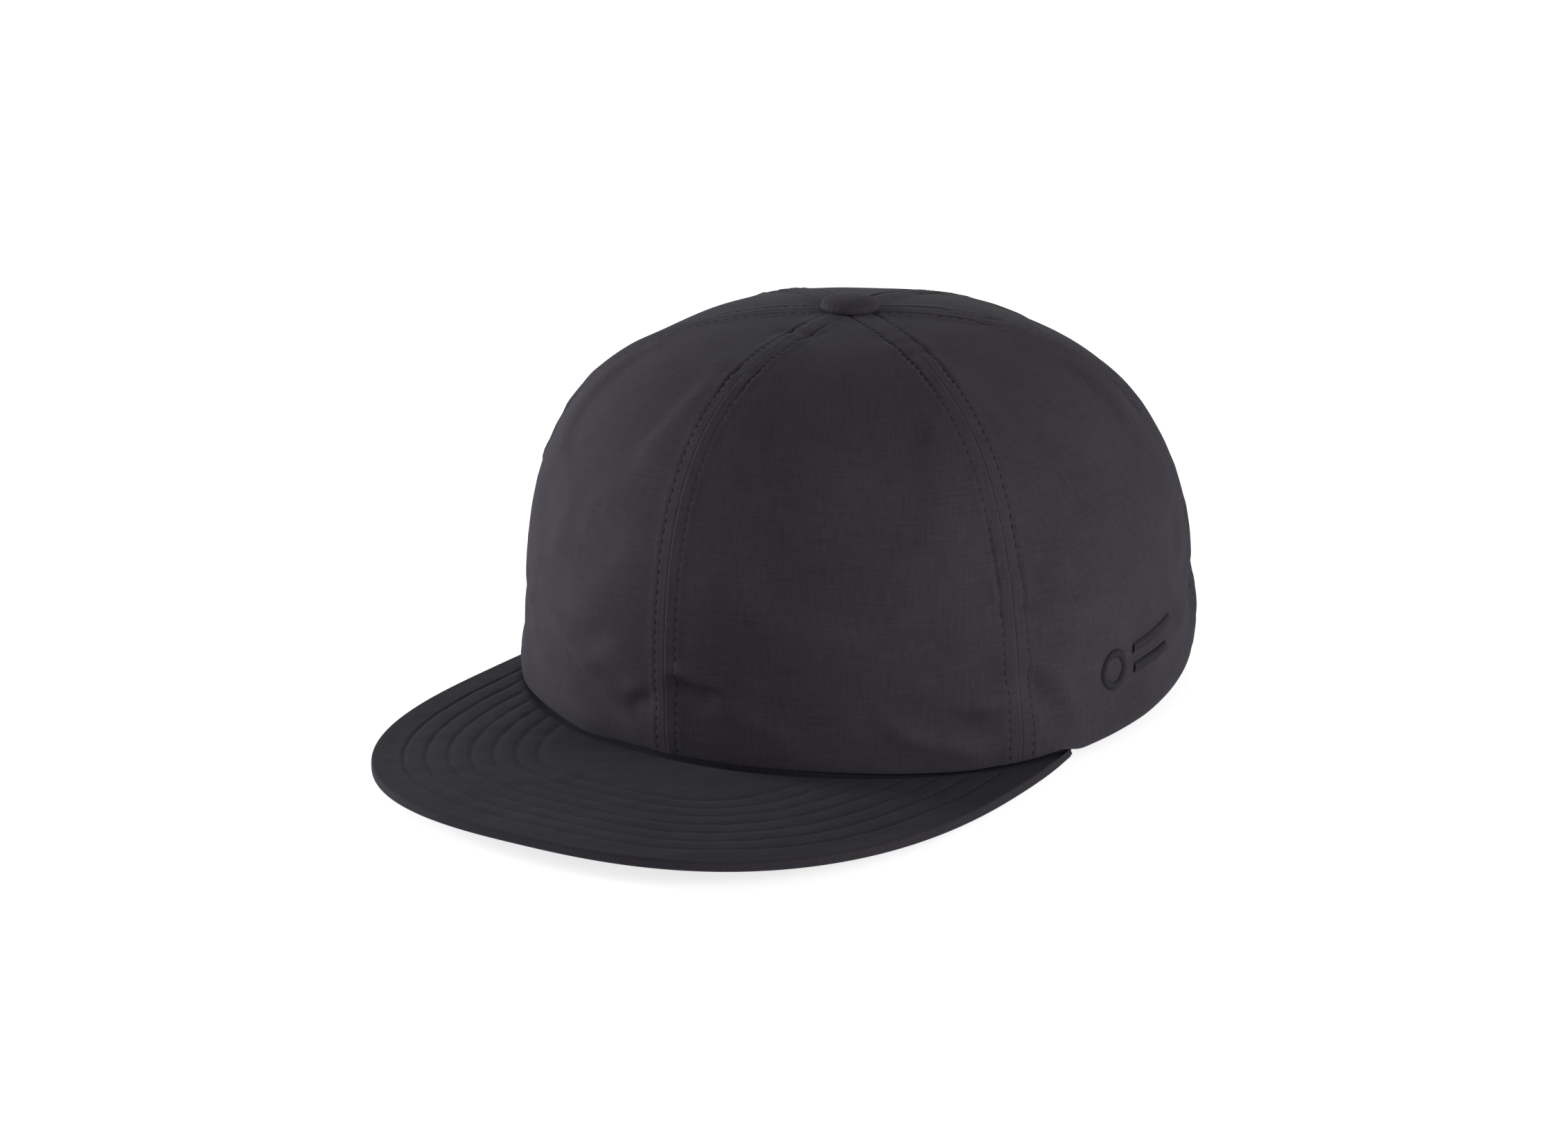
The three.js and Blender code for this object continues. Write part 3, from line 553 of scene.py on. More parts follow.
def threads(starts, ends, normals, radius=THREAD, bow=0.6, sink=0.16):
    """Short lengths of thread from starts to ends, bowed outwards, whose ends dive into the cloth."""
    spots = np.array([0, 0.07, 0.27, 0.5, 0.73, 0.93, 1])
    swell = np.array([0.25, 0.8, 1, 1, 1, 0.8, 0.25])
    rise = radius * (bow - (bow + 1.6) * np.abs(2 * spots - 1) ** 3) - sink
    axis = mix(starts[:, None], ends[:, None], spots[None, :, None])
    axis = axis + normals[:, None] * rise[None, :, None]
    side = unit(np.cross(ends - starts, normals))[:, None, None]
    turn = full_turn(THREAD_SIDES)
    across, outward = np.cos(turn)[None, None, :, None], np.sin(turn)[None, None, :, None]
    rim = (side * across + normals[:, None, None] * outward) * (swell * radius)[None, :, None, None]
    vertices = (axis[:, :, None] + rim).reshape(-1, 3)
    count, per = len(starts), len(spots) * THREAD_SIDES
    one = tube_faces(len(spots), THREAD_SIDES)
    one.append(tuple(range(THREAD_SIDES))[::-1])
    one.append(tuple(range(per - THREAD_SIDES, per)))
    faces = [tuple(v + s * per for v in face) for s in range(count) for face in one]
    length = np.linalg.norm(ends - starts, axis=-1).mean()
    uv = np.stack(np.meshgrid(turn, spots * length), -1).reshape(-1, 2)
    return vertices, faces, np.tile(uv, (count, 1))


def stitches(path, normals, pitch=STITCH, **looks):
    """A row of sewn stitches along a path."""
    along = distance_along(path)
    count = max(1, int(along[-1] / pitch))
    pitch = along[-1] / count
    centre = (np.arange(count) + 0.5) * pitch
    half = pitch * COVER / 2
    starts, ends = (at_distance(centre + step, along, path) for step in (-half, half))
    return threads(starts, ends, unit(at_distance(centre, along, normals)), **looks)


# ------------------------------------------------------------------ materials


class Nodes:
    """Short names for building the nodes of a material, or of the world."""

    def __init__(self, name, kind="materials"):
        self.owner = getattr(bpy.data, kind).new(name)
        self.owner.use_nodes = True
        self.tree = self.owner.node_tree
        self.shader = next(n for n in self.tree.nodes if n.type in ("BSDF_PRINCIPLED", "BACKGROUND"))

    def new(self, kind, inputs=(), **settings):
        made = self.tree.nodes.new("ShaderNode" + kind)
        for key, value in settings.items():
            setattr(made, key, value)
        for key, value in dict(inputs).items():
            self.link(value, made.inputs[key])
        return made.outputs

    def node(self, kind, inputs=(), **settings):
        return self.new(kind, inputs, **settings)[0]

    def link(self, value, socket):
        if isinstance(value, bpy.types.NodeSocket):
            self.tree.links.new(value, socket)
        else:
            socket.default_value = value

    def set(self, **values):
        for key, value in values.items():
            self.link(value, self.shader.inputs[key.replace("_", " ")])

    def maths(self, operation, a, b=0.0):
        return self.node("Math", {0: a, 1: b}, operation=operation)

    def add(self, a, b):
        return self.maths("ADD", a, b)

    def times(self, a, b):
        return self.maths("MULTIPLY", a, b)

    def place(self, source, scale):
        """Texture coordinates, scaled: "UV" in mm on sewn pieces, "Object" in metres."""
        coordinates = self.new("TexCoord")[source]
        return self.node("Mapping", {"Vector": coordinates, "Scale": scale})

    def noise(self, place, detail=2.0, rough=0.5):
        inputs = {"Vector": place, "Scale": 1.0, "Detail": detail, "Roughness": rough}
        return self.node("TexNoise", inputs)

    def shade(self, colour, share):
        """The colour made darker or lighter by a value around 1."""
        return self.node("VectorMath", {0: colour, 3: share}, operation="SCALE")

    def bump(self, height, depth, strength):
        """A bump `depth` mm deep."""
        self.set(Normal=self.node("Bump", {"Height": height, "Distance": depth * MM, "Strength": strength}))

    def wear_and_hollow_shade(self, amount):
        """A value above 1 on ridges, for rubbed wear, and below 1 in hollows, for painted shade."""
        pointed = self.new("NewGeometry")["Pointiness"]
        return self.add(self.times(self.add(pointed, -0.5), amount), 1.0)


def woven(name, colour, pitch=0.5, grain=0.27, mottle=0.12, sheen=0.03, rough=0.88,
          depth=0.05, twill=False):
    """Woven cloth: crossing threads at `pitch` mm, uneven yarn, soft patches, rubbed ridges and painted
    shade in hollows.
    """
    n = Nodes(name)
    x, y, _ = n.new("SeparateXYZ", {0: n.place("UV", (math.pi / pitch,) * 3)})
    warp = n.maths("SINE", x)
    weft = n.maths("SINE", n.add(y, x) if twill else y)
    threads = n.add(n.times(n.times(warp, weft), 0.5), 0.5)
    yarn_up = n.noise(n.place("UV", (1.2, 0.13, 1)), 3.0, 0.65)
    yarn_across = n.noise(n.place("UV", (0.10, 1.2, 1)), 3.0, 0.65)
    yarn = n.times(n.add(yarn_up, yarn_across), 0.5)
    patches = n.noise(n.place("Object", (26, 26, 26)), 4.0, 0.55)
    value = n.add(n.times(n.add(yarn, -0.5), grain * 4), 1.0)
    value = n.add(value, n.times(n.add(patches, -0.5), mottle * 4))
    value = n.add(value, n.times(n.add(threads, -0.5), grain))
    # Lighter ridges for wear, darker hollows as painted shade.
    value = n.times(value, n.wear_and_hollow_shade(2.2))
    height = n.add(n.times(threads, 0.6), n.times(yarn, 0.9))
    n.set(Base_Color=n.shade(colour, value), Roughness=n.add(n.times(yarn, 0.12), rough - 0.06))
    n.set(Sheen_Weight=sheen, Sheen_Roughness=0.45, Specular_IOR_Level=0.15)
    n.set(Sheen_Tint=(0.86, 0.86, 0.92, 1))
    n.bump(height, depth, 1.0)
    return n.owner


def thread(name, colour):
    """Twisted sewing thread."""
    n = Nodes(name)
    x, y, _ = n.new("SeparateXYZ", {0: n.place("UV", (2.0, 16.0, 1))})
    twist = n.add(n.times(n.maths("SINE", n.add(x, y)), 0.5), 0.5)
    n.set(Base_Color=n.shade(colour, n.add(n.times(twist, 0.5), 0.7)))
    n.set(Roughness=0.7, Specular_IOR_Level=0.25)
    n.bump(twist, 0.05, 0.8)
    return n.owner


def mesh_cloth(name, colour, cell=1.6):
    """Knitted spacer mesh: small round openings in staggered rows."""
    n = Nodes(name)
    place = n.place("UV", (1 / cell, 1 / cell, 1))
    away = n.new("TexVoronoi", {"Vector": place, "Scale": 1.0, "Randomness": 0.12})["Distance"]
    hole = n.node("MapRange", {"Value": away, "From Min": 0.18, "From Max": 0.36})
    fuzz = n.noise(n.place("Object", (900, 900, 900)), 3.0)
    patches = n.noise(n.place("Object", (30, 30, 30)), 4.0)
    value = n.add(n.times(hole, 0.55), n.add(n.times(fuzz, 0.35), n.times(patches, 0.3)))
    n.set(Base_Color=n.shade(colour, value), Roughness=0.88, Sheen_Weight=0.3, Sheen_Roughness=0.5)
    n.bump(n.add(hole, n.times(fuzz, 0.3)), 0.25, 0.9)
    return n.owner


def moulded(name, colour, rough=0.42, grain=0.03):
    """Moulded plastic: a fine eroded texture, faint flow marks, handling marks, lighter worn ridges and
    painted shade in hollows.
    """
    n = Nodes(name)
    fine = n.noise(n.place("Object", (2600, 2600, 2600)), 2.0)
    flow = n.noise(n.place("Object", (30, 30, 90)), 5.0)
    scuffs = n.noise(n.place("Object", (500, 60, 500)), 6.0, 0.7)
    scuffed = n.node("MapRange", {"Value": scuffs, "From Min": 0.58, "From Max": 0.75})
    value = n.add(n.add(n.times(flow, 0.35), 0.82), n.times(scuffed, 0.35))
    # Lighter ridges for wear, darker hollows as painted shade.
    n.set(Base_Color=n.shade(colour, n.times(value, n.wear_and_hollow_shade(3.0))))
    n.set(Roughness=n.add(n.add(rough - 0.1, n.times(flow, 0.2)), n.times(scuffed, 0.15)))
    n.bump(fine, grain, 0.7)
    return n.owner


def metal(name, colour, rough=0.3, brush=(60, 60, 2400)):
    """Brushed metal with brighter worn edges and painted shade in its hollows."""
    n = Nodes(name)
    lines = n.noise(n.place("Object", brush), 4.0, 0.7)
    stains = n.noise(n.place("Object", (160, 160, 160)), 4.0)
    # Brighter ridges for wear, darker hollows as painted shade.
    value = n.times(n.add(n.times(lines, 0.4), n.add(n.times(stains, 0.3), 0.65)), n.wear_and_hollow_shade(6.0))
    n.set(Base_Color=n.shade(colour, value), Metallic=1.0)
    n.set(Roughness=n.add(n.times(lines, 0.25), n.add(n.times(stains, 0.15), rough - 0.15)))
    n.bump(lines, 0.02, 0.5)
    return n.owner


def pile(name, colour):
    """The loop side of a touch fastener: a dense tangle of fine loops."""
    n = Nodes(name)
    tangle = n.noise(n.place("Object", (2000, 2000, 2000)), 4.0, 0.7)
    tufts = n.noise(n.place("Object", (500, 500, 500)), 2.0)
    value = n.add(n.times(tangle, 1.1), n.times(tufts, 0.6))
    n.set(Base_Color=n.shade(colour, value), Roughness=0.95, Sheen_Weight=0.6, Sheen_Roughness=0.5)
    n.bump(n.add(tangle, tufts), 0.3, 1.0)
    return n.owner


CAP_COLOUR = (0.043, 0.0385, 0.0475)
CLOTH_LOOK = woven("cap_cloth", CAP_COLOUR)
# The brim is the crown's cloth drawn darker: painted shade for its upward face, which gets less light.
BRIM_SHADED_LOOK = woven("brim_cloth", (0.033, 0.030, 0.037))
THREAD_LOOK = thread("sewing_thread", (0.016, 0.015, 0.017))
TAPE_LOOK = woven("seam_tape_twill", (0.022, 0.022, 0.026), 0.7, 0.25, twill=True, depth=0.09)
# Near-black twill for the strip under the hem: painted shade for the gap there.
GAP_SHADE_LOOK = woven("brim_binding", (0.005, 0.005, 0.006), 0.7, 0.2, twill=True)
BAND_LOOK = mesh_cloth("sweatband_knit", (0.040, 0.040, 0.045), 0.9)
PAD_LOOK = mesh_cloth("pad_spacer_mesh", (0.060, 0.060, 0.066), 2.2)
SHELL_LOOK = moulded("shell_abs", (0.022, 0.022, 0.024))
BOARD_LOOK = moulded("brim_board_pe", (0.05, 0.05, 0.055), 0.6, 0.06)
BUCKLE_LOOK = metal("buckle_steel", (0.30, 0.30, 0.32), 0.34)
RIVET_LOOK = metal("rivet_aluminium", (0.72, 0.72, 0.74), 0.4, (900, 900, 900))
STRAP_LOOK = woven("strap_cloth", CAP_COLOUR, 0.6, 0.2, depth=0.07)
LABEL_LOOK = woven("label_satin", (0.60, 0.60, 0.58), 0.35, 0.10, 0.04, 0.5, 0.5)
LOOP_LOOK = pile("loop_pile", (0.016, 0.016, 0.018))
HOOK_LOOK = moulded("hook_nylon", (0.014, 0.014, 0.016), 0.5)
EMBROIDERY_LOOK = thread("embroidery_thread", (0.026, 0.0235, 0.029))


def sew(name, parts, body="cap", look=THREAD_LOOK):
    """One piece, in the Blender model only, from rows of thread."""
    new_piece(name, join_parts(parts), look, body, False)


# ------------------------------------------------------------------ crown panels

PANEL_ROWS = 118
# Distances of a panel's columns from its seam, close together where the stitches lie.
SEAM_COLUMNS = np.array([0.04, 0.4, 0.75, 1.1, 1.5, 1.95, 2.4, 2.8, 3.1, 3.35, 3.7, 4.2, 4.9, 5.8, 6.8])
MIDDLE_COLUMNS = 56
HEM_START = 1.5  # the folded hem's lowest point is this far above the hem line
APEX_HOLE = 4.4


def arch_height(theta):
    share = np.abs(HALF_WIDTH * np.sin(theta)) / ARCH_HALF_WIDTH
    opening = np.where(np.cos(theta) < 0, ARCH_HEIGHT * np.sqrt(np.maximum(0, 1 - share**2)), 0)
    return np.maximum(opening, HEM_START)


def panel_angles(left, right, alpha):
    """Directions of a panel's columns at each row: close together beside the seams."""
    middle = (left + right) / 2
    half = (right - left) / 2 * crown_outer(middle, alpha)[2]
    shrink = np.minimum(1, half / 11)[None]
    starts = left + SEAM_COLUMNS[:, None] * shrink / crown_outer(left, alpha)[2][None]
    ends = right - SEAM_COLUMNS[::-1, None] * shrink / crown_outer(right, alpha)[2][None]
    inner = np.linspace(0, 1, MIDDLE_COLUMNS)[1:-1, None]
    return np.concatenate([starts, mix(starts[-1:], ends[:1], inner), ends])


def rear_columns(left, right):
    """Directions of a rear panel's columns: they crowd where the arch's side is steep."""
    rear = right if right > 0 else left
    turn = np.linspace(0, math.pi / 2, 34)[1:]
    near_rear = np.concatenate([[0.004], SEAM_COLUMNS[1:]]) / BACK_LENGTH
    arch = np.arcsin(ARCH_HALF_WIDTH * np.sin(turn) / HALF_WIDTH)
    arch = arch[arch > near_rear[-1] + 0.01]
    near_side = SEAM_TURN - SEAM_COLUMNS[::-1] / 100
    plain = np.linspace(arch[-1], near_side[0], 26)[1:-1]
    away = np.concatenate([near_rear, arch, plain, near_side])
    return np.sort(rear - away if rear > 0 else rear + away)


def crown_panel(name, left_degrees, right_degrees):
    left, right = left_degrees * RAD, right_degrees * RAD
    middle = (left + right) / 2
    top = alpha_near_apex(middle, APEX_HOLE)
    if max(abs(left), abs(right)) > 179 * RAD:
        angles = rear_columns(left, right)
        foot = alpha_at_height(angles, arch_height(angles))
        alpha = even_alphas(angles, foot, top, PANEL_ROWS)
        theta = np.repeat(angles[:, None], PANEL_ROWS, 1)
    else:
        alpha = even_alphas([middle], alpha_at_height(middle, HEM_START), top, PANEL_ROWS)
        theta = panel_angles(left, right, alpha[0])
        alpha = np.repeat(alpha, len(theta), 0)
    point, normal, height, reach = crown(theta, alpha)
    lift = cloth_relief(theta, alpha, point, height, reach)[..., None]
    uv = np.stack([(theta - middle) * reach, length_up(theta, alpha)], -1)
    point = point + hem_drop(theta, height)
    outer, inner = point + normal * lift, point + normal * (np.minimum(lift, 0.3) - CLOTH)
    new_piece(name, slab(outer, inner, uv), CLOTH_LOOK)


PANELS = ["rear_right", "side_right", "front_right", "front_left", "side_left", "rear_left"]
for k, place in enumerate(PANELS):
    crown_panel("crown_panel_" + place, 60 * k - 180, 60 * k - 120)


def seam_rows():
    """Two rows of stitches beside every crown seam."""
    parts = []
    for k in range(-2, 4):
        seam = k * SEAM_TURN
        foot = ARCH_HEIGHT + 1.5 if k == 3 else 1.6
        alpha = even_alphas([seam], alpha_at_height(seam, foot), alpha_near_apex(seam, 9.5), 260)[0]
        for side in (-1, 1):
            theta = seam + side * ROW / crown_outer(seam, alpha)[2]
            parts.append(stitches(*cloth_frame(theta, alpha)))
    sew("crown_topstitching", parts)


seam_rows()

# ------------------------------------------------------------------ brim

BRIM_ROWS_OF_STITCHES = [8.6 + 6.0 * k for k in range(7)]
BRIM_COLUMNS = 300
BRIM_CLOTH = 0.5
EDGE_RADIUS = 1.2
END_RADIUS = 1.3  # the covers close round the board's ends
SQUARED = 0.5  # below 1 the edge is squarer than a half round


def brim_edge(share):
    """The brim's outline from the right corner (-1) over the tip (0) to the left corner (1)."""
    corner_y = hem_plan(BRIM_CORNER * RAD)[1]
    back = ((corner_y - BRIM_MIDDLE_Y) / BRIM_REACH) ** (BRIM_ROUNDNESS / 2)
    turn = share * (math.pi / 2 + math.asin(back))
    s, c = np.sin(turn), np.cos(turn)
    power = 2 / BRIM_ROUNDNESS
    x = BRIM_HALF_WIDTH * np.sign(s) * np.abs(s) ** power
    y = BRIM_MIDDLE_Y - BRIM_REACH * np.sign(c) * np.abs(c) ** power
    return np.stack([x, y], -1)


EDGE_SHARES = np.linspace(-1, 1, 2001)
EDGE = brim_edge(EDGE_SHARES)
_edge_length = distance_along(EDGE)
_tangent = unit(np.gradient(EDGE, axis=0))
EDGE_INWARD = np.stack([-_tangent[:, 1], _tangent[:, 0]], -1)


def even_shares(count):
    return np.interp(np.linspace(0, _edge_length[-1], count), _edge_length, EDGE_SHARES)


def from_edge(plan):
    """Distance of points of the plan from the brim's outline."""
    best = np.full(plan.shape[:-1], 1e9)
    for start in range(0, len(EDGE), 4):
        best = np.minimum(best, np.linalg.norm(plan - EDGE[start], axis=-1))
    return best


def from_hem(plan):
    """Distance of points of the plan outside the crown's hem."""
    share = np.hypot(plan[..., 0] / HALF_WIDTH, plan[..., 1] / FRONT_LENGTH)
    return (share - 1) * 96  # the hem's mean radius at the front


def brim_surface(plan, under=False):
    return brim_height(plan[..., 0], plan[..., 1]) + BRIM_TOP - (BRIM_THICKNESS if under else 0)


def brim_relief(plan, under):
    edge, hem = from_edge(plan), from_hem(plan)
    spot = np.concatenate([plan, np.full((*plan.shape[:-1], 1), 40.0 if under else 0.0)], -1)
    inside = ramp(edge, 1.5, 5.0) * ramp(hem, 2.0, 5.0)
    lift = 0.20 * noise(spot, 17.0) * inside + 0.10 * noise(spot, 5.0, 3.0) * inside
    for row in BRIM_ROWS_OF_STITCHES:
        lift = lift - (0.24 * bell(edge - row, 0.5) - 0.05 * bell(edge - row - 3.0, 1.6)) * inside
    if not under:
        lift = lift - 0.7 * bell(np.maximum(hem, 0), 2.2)
    return lift * ramp(edge, 0.0, 1.0)


FLANGE_DEPTH, FLANGE_HEIGHT = 2.35, 8.0  # the top cover's inner edge, turned up behind the hem


def cover_columns():
    """Shares of the outline for a cover's columns, and how far each bends down past an end."""
    past = END_RADIUS * np.sin(np.linspace(0, math.pi / 2, 8))[1:]
    beyond = past / np.linalg.norm(EDGE[-1] - EDGE[-2]) * (EDGE_SHARES[1] - EDGE_SHARES[0])
    shares = np.concatenate([-1 - beyond[::-1], even_shares(BRIM_COLUMNS), 1 + beyond])
    past = np.concatenate([past[::-1], np.zeros(BRIM_COLUMNS), past])
    return shares, BRIM_THICKNESS / 2 * (1 - np.sqrt(np.maximum(0, 1 - (past / END_RADIUS) ** 2)))


def cover_rows(reach):
    """Distances from the outline, from the hem outwards and over the edge, and their drop."""
    turn = np.linspace(0, math.pi / 2, 12)[1:]
    flat = mix(reach, np.minimum(EDGE_RADIUS, reach * 0.45), np.linspace(0, 1, 120)[None])
    rolled = flat[:, -1:] * (1 - np.sin(turn) ** SQUARED)
    drop = np.concatenate([0 * flat[0], BRIM_THICKNESS / 2 * (1 - np.cos(turn) ** SQUARED)])
    return np.concatenate([flat, rolled], 1), drop


def flange(seam_theta):
    """The turned-up inner edge of the top cover: its two faces, and how high each row is."""
    rise = np.linspace(FLANGE_HEIGHT, 0.4, 12)[None]
    theta = np.repeat(seam_theta[:, None], 12, 1)
    alpha = alpha_at_height(theta, rise)
    faces = [below_crown(theta, alpha, depth) for depth in (FLANGE_DEPTH, FLANGE_DEPTH + 0.4)]
    return faces, sheet_uv(0, rise + 0 * theta)


def brim_cover(name, under):
    """One cloth cover: flat over the board, rolled over its edge down to the edge seam."""
    shares, end_drop = cover_columns()
    edge, seam_theta = brim_edge(shares), shares * BRIM_CORNER * RAD
    tuck = 3.6 if under else FLANGE_DEPTH + 0.25
    seam = crown_outer(seam_theta, 0.0)[0][:, :2]
    seam = seam * (1 - tuck / np.linalg.norm(seam, axis=-1, keepdims=True))
    reach = np.linalg.norm(edge - seam, axis=-1)[:, None]
    inset, drop = cover_rows(reach)
    drop = np.maximum(drop, end_drop[:, None])
    plan = edge[:, None] + (seam - edge)[:, None] * (inset / reach)[..., None]
    sign = -1 if under else 1
    middle = brim_surface(plan) - BRIM_THICKNESS / 2
    height = brim_surface(plan, under) - sign * drop * 0.97 + sign * brim_relief(plan, under)
    outer = np.concatenate([plan, height[..., None]], -1)
    shrink = (seam - edge)[:, None] / reach[..., None] * (BRIM_CLOTH * ramp(3 - inset, 0, 3))[..., None]
    inner_height = np.where(sign * (height - middle) > BRIM_CLOTH, height - sign * BRIM_CLOTH, middle)
    inner = np.concatenate([plan + shrink, inner_height[..., None]], -1)
    uv = plan.copy()
    uv[..., 1] -= drop
    if under:
        outer, inner, uv = outer[::-1], inner[::-1], uv[::-1]
    else:
        faces, up = flange(seam_theta)
        outer, inner = (np.concatenate(pair, 1) for pair in zip(faces, (outer, inner)))
        uv = np.concatenate([uv[:, :1] + up, uv], 1)
    # The brim's covers use the darker copy of the cloth: painted shade.
    new_piece(name, slab(outer[:, ::-1], inner[:, ::-1], uv[:, ::-1]), BRIM_SHADED_LOOK)


brim_cover("brim_top_cover", False)
brim_cover("brim_bottom_cover", True)


def brim_gap_shade_strip():
    """A near-black strip between the hem and the brim's turned-up edge: painted shade for the dark gap
    under the hem.
    """
    angles = np.linspace(-BRIM_CORNER, BRIM_CORNER, 400) * RAD
    foot, top = alpha_at_height(angles, 0.1), alpha_at_height(angles, 5.0)
    theta, alpha = sheet_between(angles, foot, top, 10)
    sheets = [below_crown(theta, alpha, depth) for depth in (1.9, 2.25)]
    for sheet in sheets:
        sheet[..., 2] += brim_height(sheet[..., 0], sheet[..., 1]) - 1.1
    uv = np.stack([theta, alpha], -1) * HEM_RADIUS
    new_piece("brim_gap_shade_strip", slab(*sheets, uv), GAP_SHADE_LOOK, replaces=False)


brim_gap_shade_strip()


def brim_rows():
    """The concentric rows of stitches on both faces of the brim."""
    parts = []
    for under in (False, True):
        for row in BRIM_ROWS_OF_STITCHES:
            plan = EDGE + EDGE_INWARD * row
            plan = plan[from_hem(plan) > 3.5]
            sign = -1 if under else 1
            height = brim_surface(plan, under) + sign * brim_relief(plan, under)
            path = np.concatenate([plan, height[:, None]], -1)
            normals = np.tile([0.0, 0.0, float(sign)], (len(path), 1))
            parts.append(stitches(path, normals, 3.0, sink=0.26))
    sew("brim_topstitching", parts)


brim_rows()

# ------------------------------------------------------------------ button on the crown


def turned(profile, around=96, fine=9):
    """Rings of a turned form from (radius, height) corners, rounded by a smooth curve through them."""
    corners = np.array(profile, float)
    place = distance_along(corners)
    even = np.linspace(0, place[-1], len(corners) * fine)
    curve = np.array([np.interp(even, place, values) for values in corners.T])
    for _ in range(3):
        curve[:, 1:-1] = (curve[:, :-2] + 2 * curve[:, 1:-1] + curve[:, 2:]) / 4
    radius, height = curve[..., None]
    turn = full_turn(around)
    return np.stack([radius * np.cos(turn), radius * np.sin(turn), height + 0 * turn], -1)


def crown_button():
    """A low cloth-covered dome whose cloth is gathered under its rim."""
    r = BUTTON_RADIUS
    under, over = [(0.3, 0.9), (r - 2.2, 0.9), (r - 1.0, 0.6)], [(r - 2.2, 3.8), (r - 4.6, 4.2)]
    profile = [*under, (r, 1.2), (r + 0.05, 2.1), (r - 0.6, 3.1), *over, (0.3, BUTTON_RISE)]
    rings = turned(profile)
    uv = rings[..., :2]
    turn = np.arctan2(rings[..., 1], rings[..., 0])
    rim = ramp(np.hypot(rings[..., 0], rings[..., 1]), r - 2.5, r)
    gather = 0.10 * np.cos(26 * turn + noise(rings, 4.0)) * rim * (1 - ramp(rings[..., 2], 1.2, 3.2))
    puff = 0.12 * noise(rings, 5.5) + 0.04 * noise(rings, 1.6, 4.0)
    rings = rings * (1 + ((gather + puff * 0.4) / r)[..., None])
    rings[..., 2] += puff * ramp(rings[..., 2], 1.0, 3.0)
    rings = rings + [0, APEX_SHIFT, CROWN_HEIGHT]
    new_piece("crown_button", loft(rings, uv), CLOTH_LOOK)


crown_button()

# ------------------------------------------------------------------ sheets inside the crown


def lay_tape(name, theta, alpha, half_width):
    """A sewn tape whose grid is (along, across): rolled edges, a groove along each stitch row."""
    across = np.linspace(-half_width, half_width, theta.shape[1])[None]
    spot = below_crown(theta, alpha, 0)
    wave = 0.10 * noise(spot, 9.0) + 0.05 * noise(spot, 3.0, 2.0)
    groove = 0.16 * bell(np.abs(across) - ROW, 0.5)
    outer = below_crown(theta, alpha, TAPE_DEPTHS[0])
    inner = below_crown(theta, alpha, TAPE_DEPTHS[1] + wave * 0.6 - groove)
    along = distance_along(spot[:, 0])[:, None]
    new_piece(name, slab(outer, inner, sheet_uv(across, along)), TAPE_LOOK)


def inner_stitches(theta, alpha, depth, *pitch, **looks):
    """A row of stitches on an inside face at a depth below the crown."""
    return stitches(below_crown(theta, alpha, depth), -crown(theta, alpha)[1], *pitch, **looks)


def tape_stitches(theta, alpha):
    return inner_stitches(theta, alpha, TAPE_DEPTHS[1], sink=0.05)


SEAM_TAPES = [
    ("front", 0), ("front_left", 60), ("rear_left", 120),
    ("rear", 180), ("rear_right", -120), ("front_right", -60),
]
TAPE_HALF_WIDTH, ARCH_TAPE_WIDTH = 5.9, 8.0


def seam_tapes():
    parts = []
    across = np.linspace(-TAPE_HALF_WIDTH, TAPE_HALF_WIDTH, 25)
    for place, degrees in SEAM_TAPES:
        seam = degrees * RAD
        foot = ARCH_HEIGHT + ARCH_TAPE_WIDTH + 2.2 if degrees == 180 else 1.2
        alpha = even_alphas([seam], alpha_at_height(seam, foot), alpha_near_apex(seam, 16), 150)[0]
        reach = crown_outer(seam, alpha)[2]
        theta = seam + across[None] / reach[:, None]
        lay_tape("seam_tape_" + place, theta, np.repeat(alpha[:, None], 25, 1), TAPE_HALF_WIDTH)
        for side in (-1, 1):
            parts.append(tape_stitches(seam + side * ROW / reach, alpha))
    sew("seam_tape_stitching", parts)


seam_tapes()


def arch_path(out, lift=1.0):
    """Directions and alphas of a line that follows the rear opening at a distance from its edge."""
    turn = np.linspace(0, math.pi, 220)
    across = -(ARCH_HALF_WIDTH + out) * np.cos(turn)
    height = (ARCH_HEIGHT + out) * np.sin(turn) + lift
    theta = math.pi + np.arcsin(across / HALF_WIDTH)
    return theta, alpha_at_height(theta, height)


def arch_tape():
    lines = [arch_path(out) for out in np.linspace(0.6, ARCH_TAPE_WIDTH + 0.4, 17)]
    lay_tape("arch_tape", *np.stack(lines, -1), ARCH_TAPE_WIDTH / 2)
    parts = []
    for out in (2.0, 6.8):
        parts.append(tape_stitches(*arch_path(out)))
        parts.append(stitches(*cloth_frame(*arch_path(out, 1.6))))
    sew("arch_stitching", parts)


arch_tape()


def band_rear(theta):
    """How much deeper the sweatband sits at the back, where the strap runs behind it."""
    return BAND_REAR_DEPTH * ramp(np.abs(theta) / RAD, 120, 135)


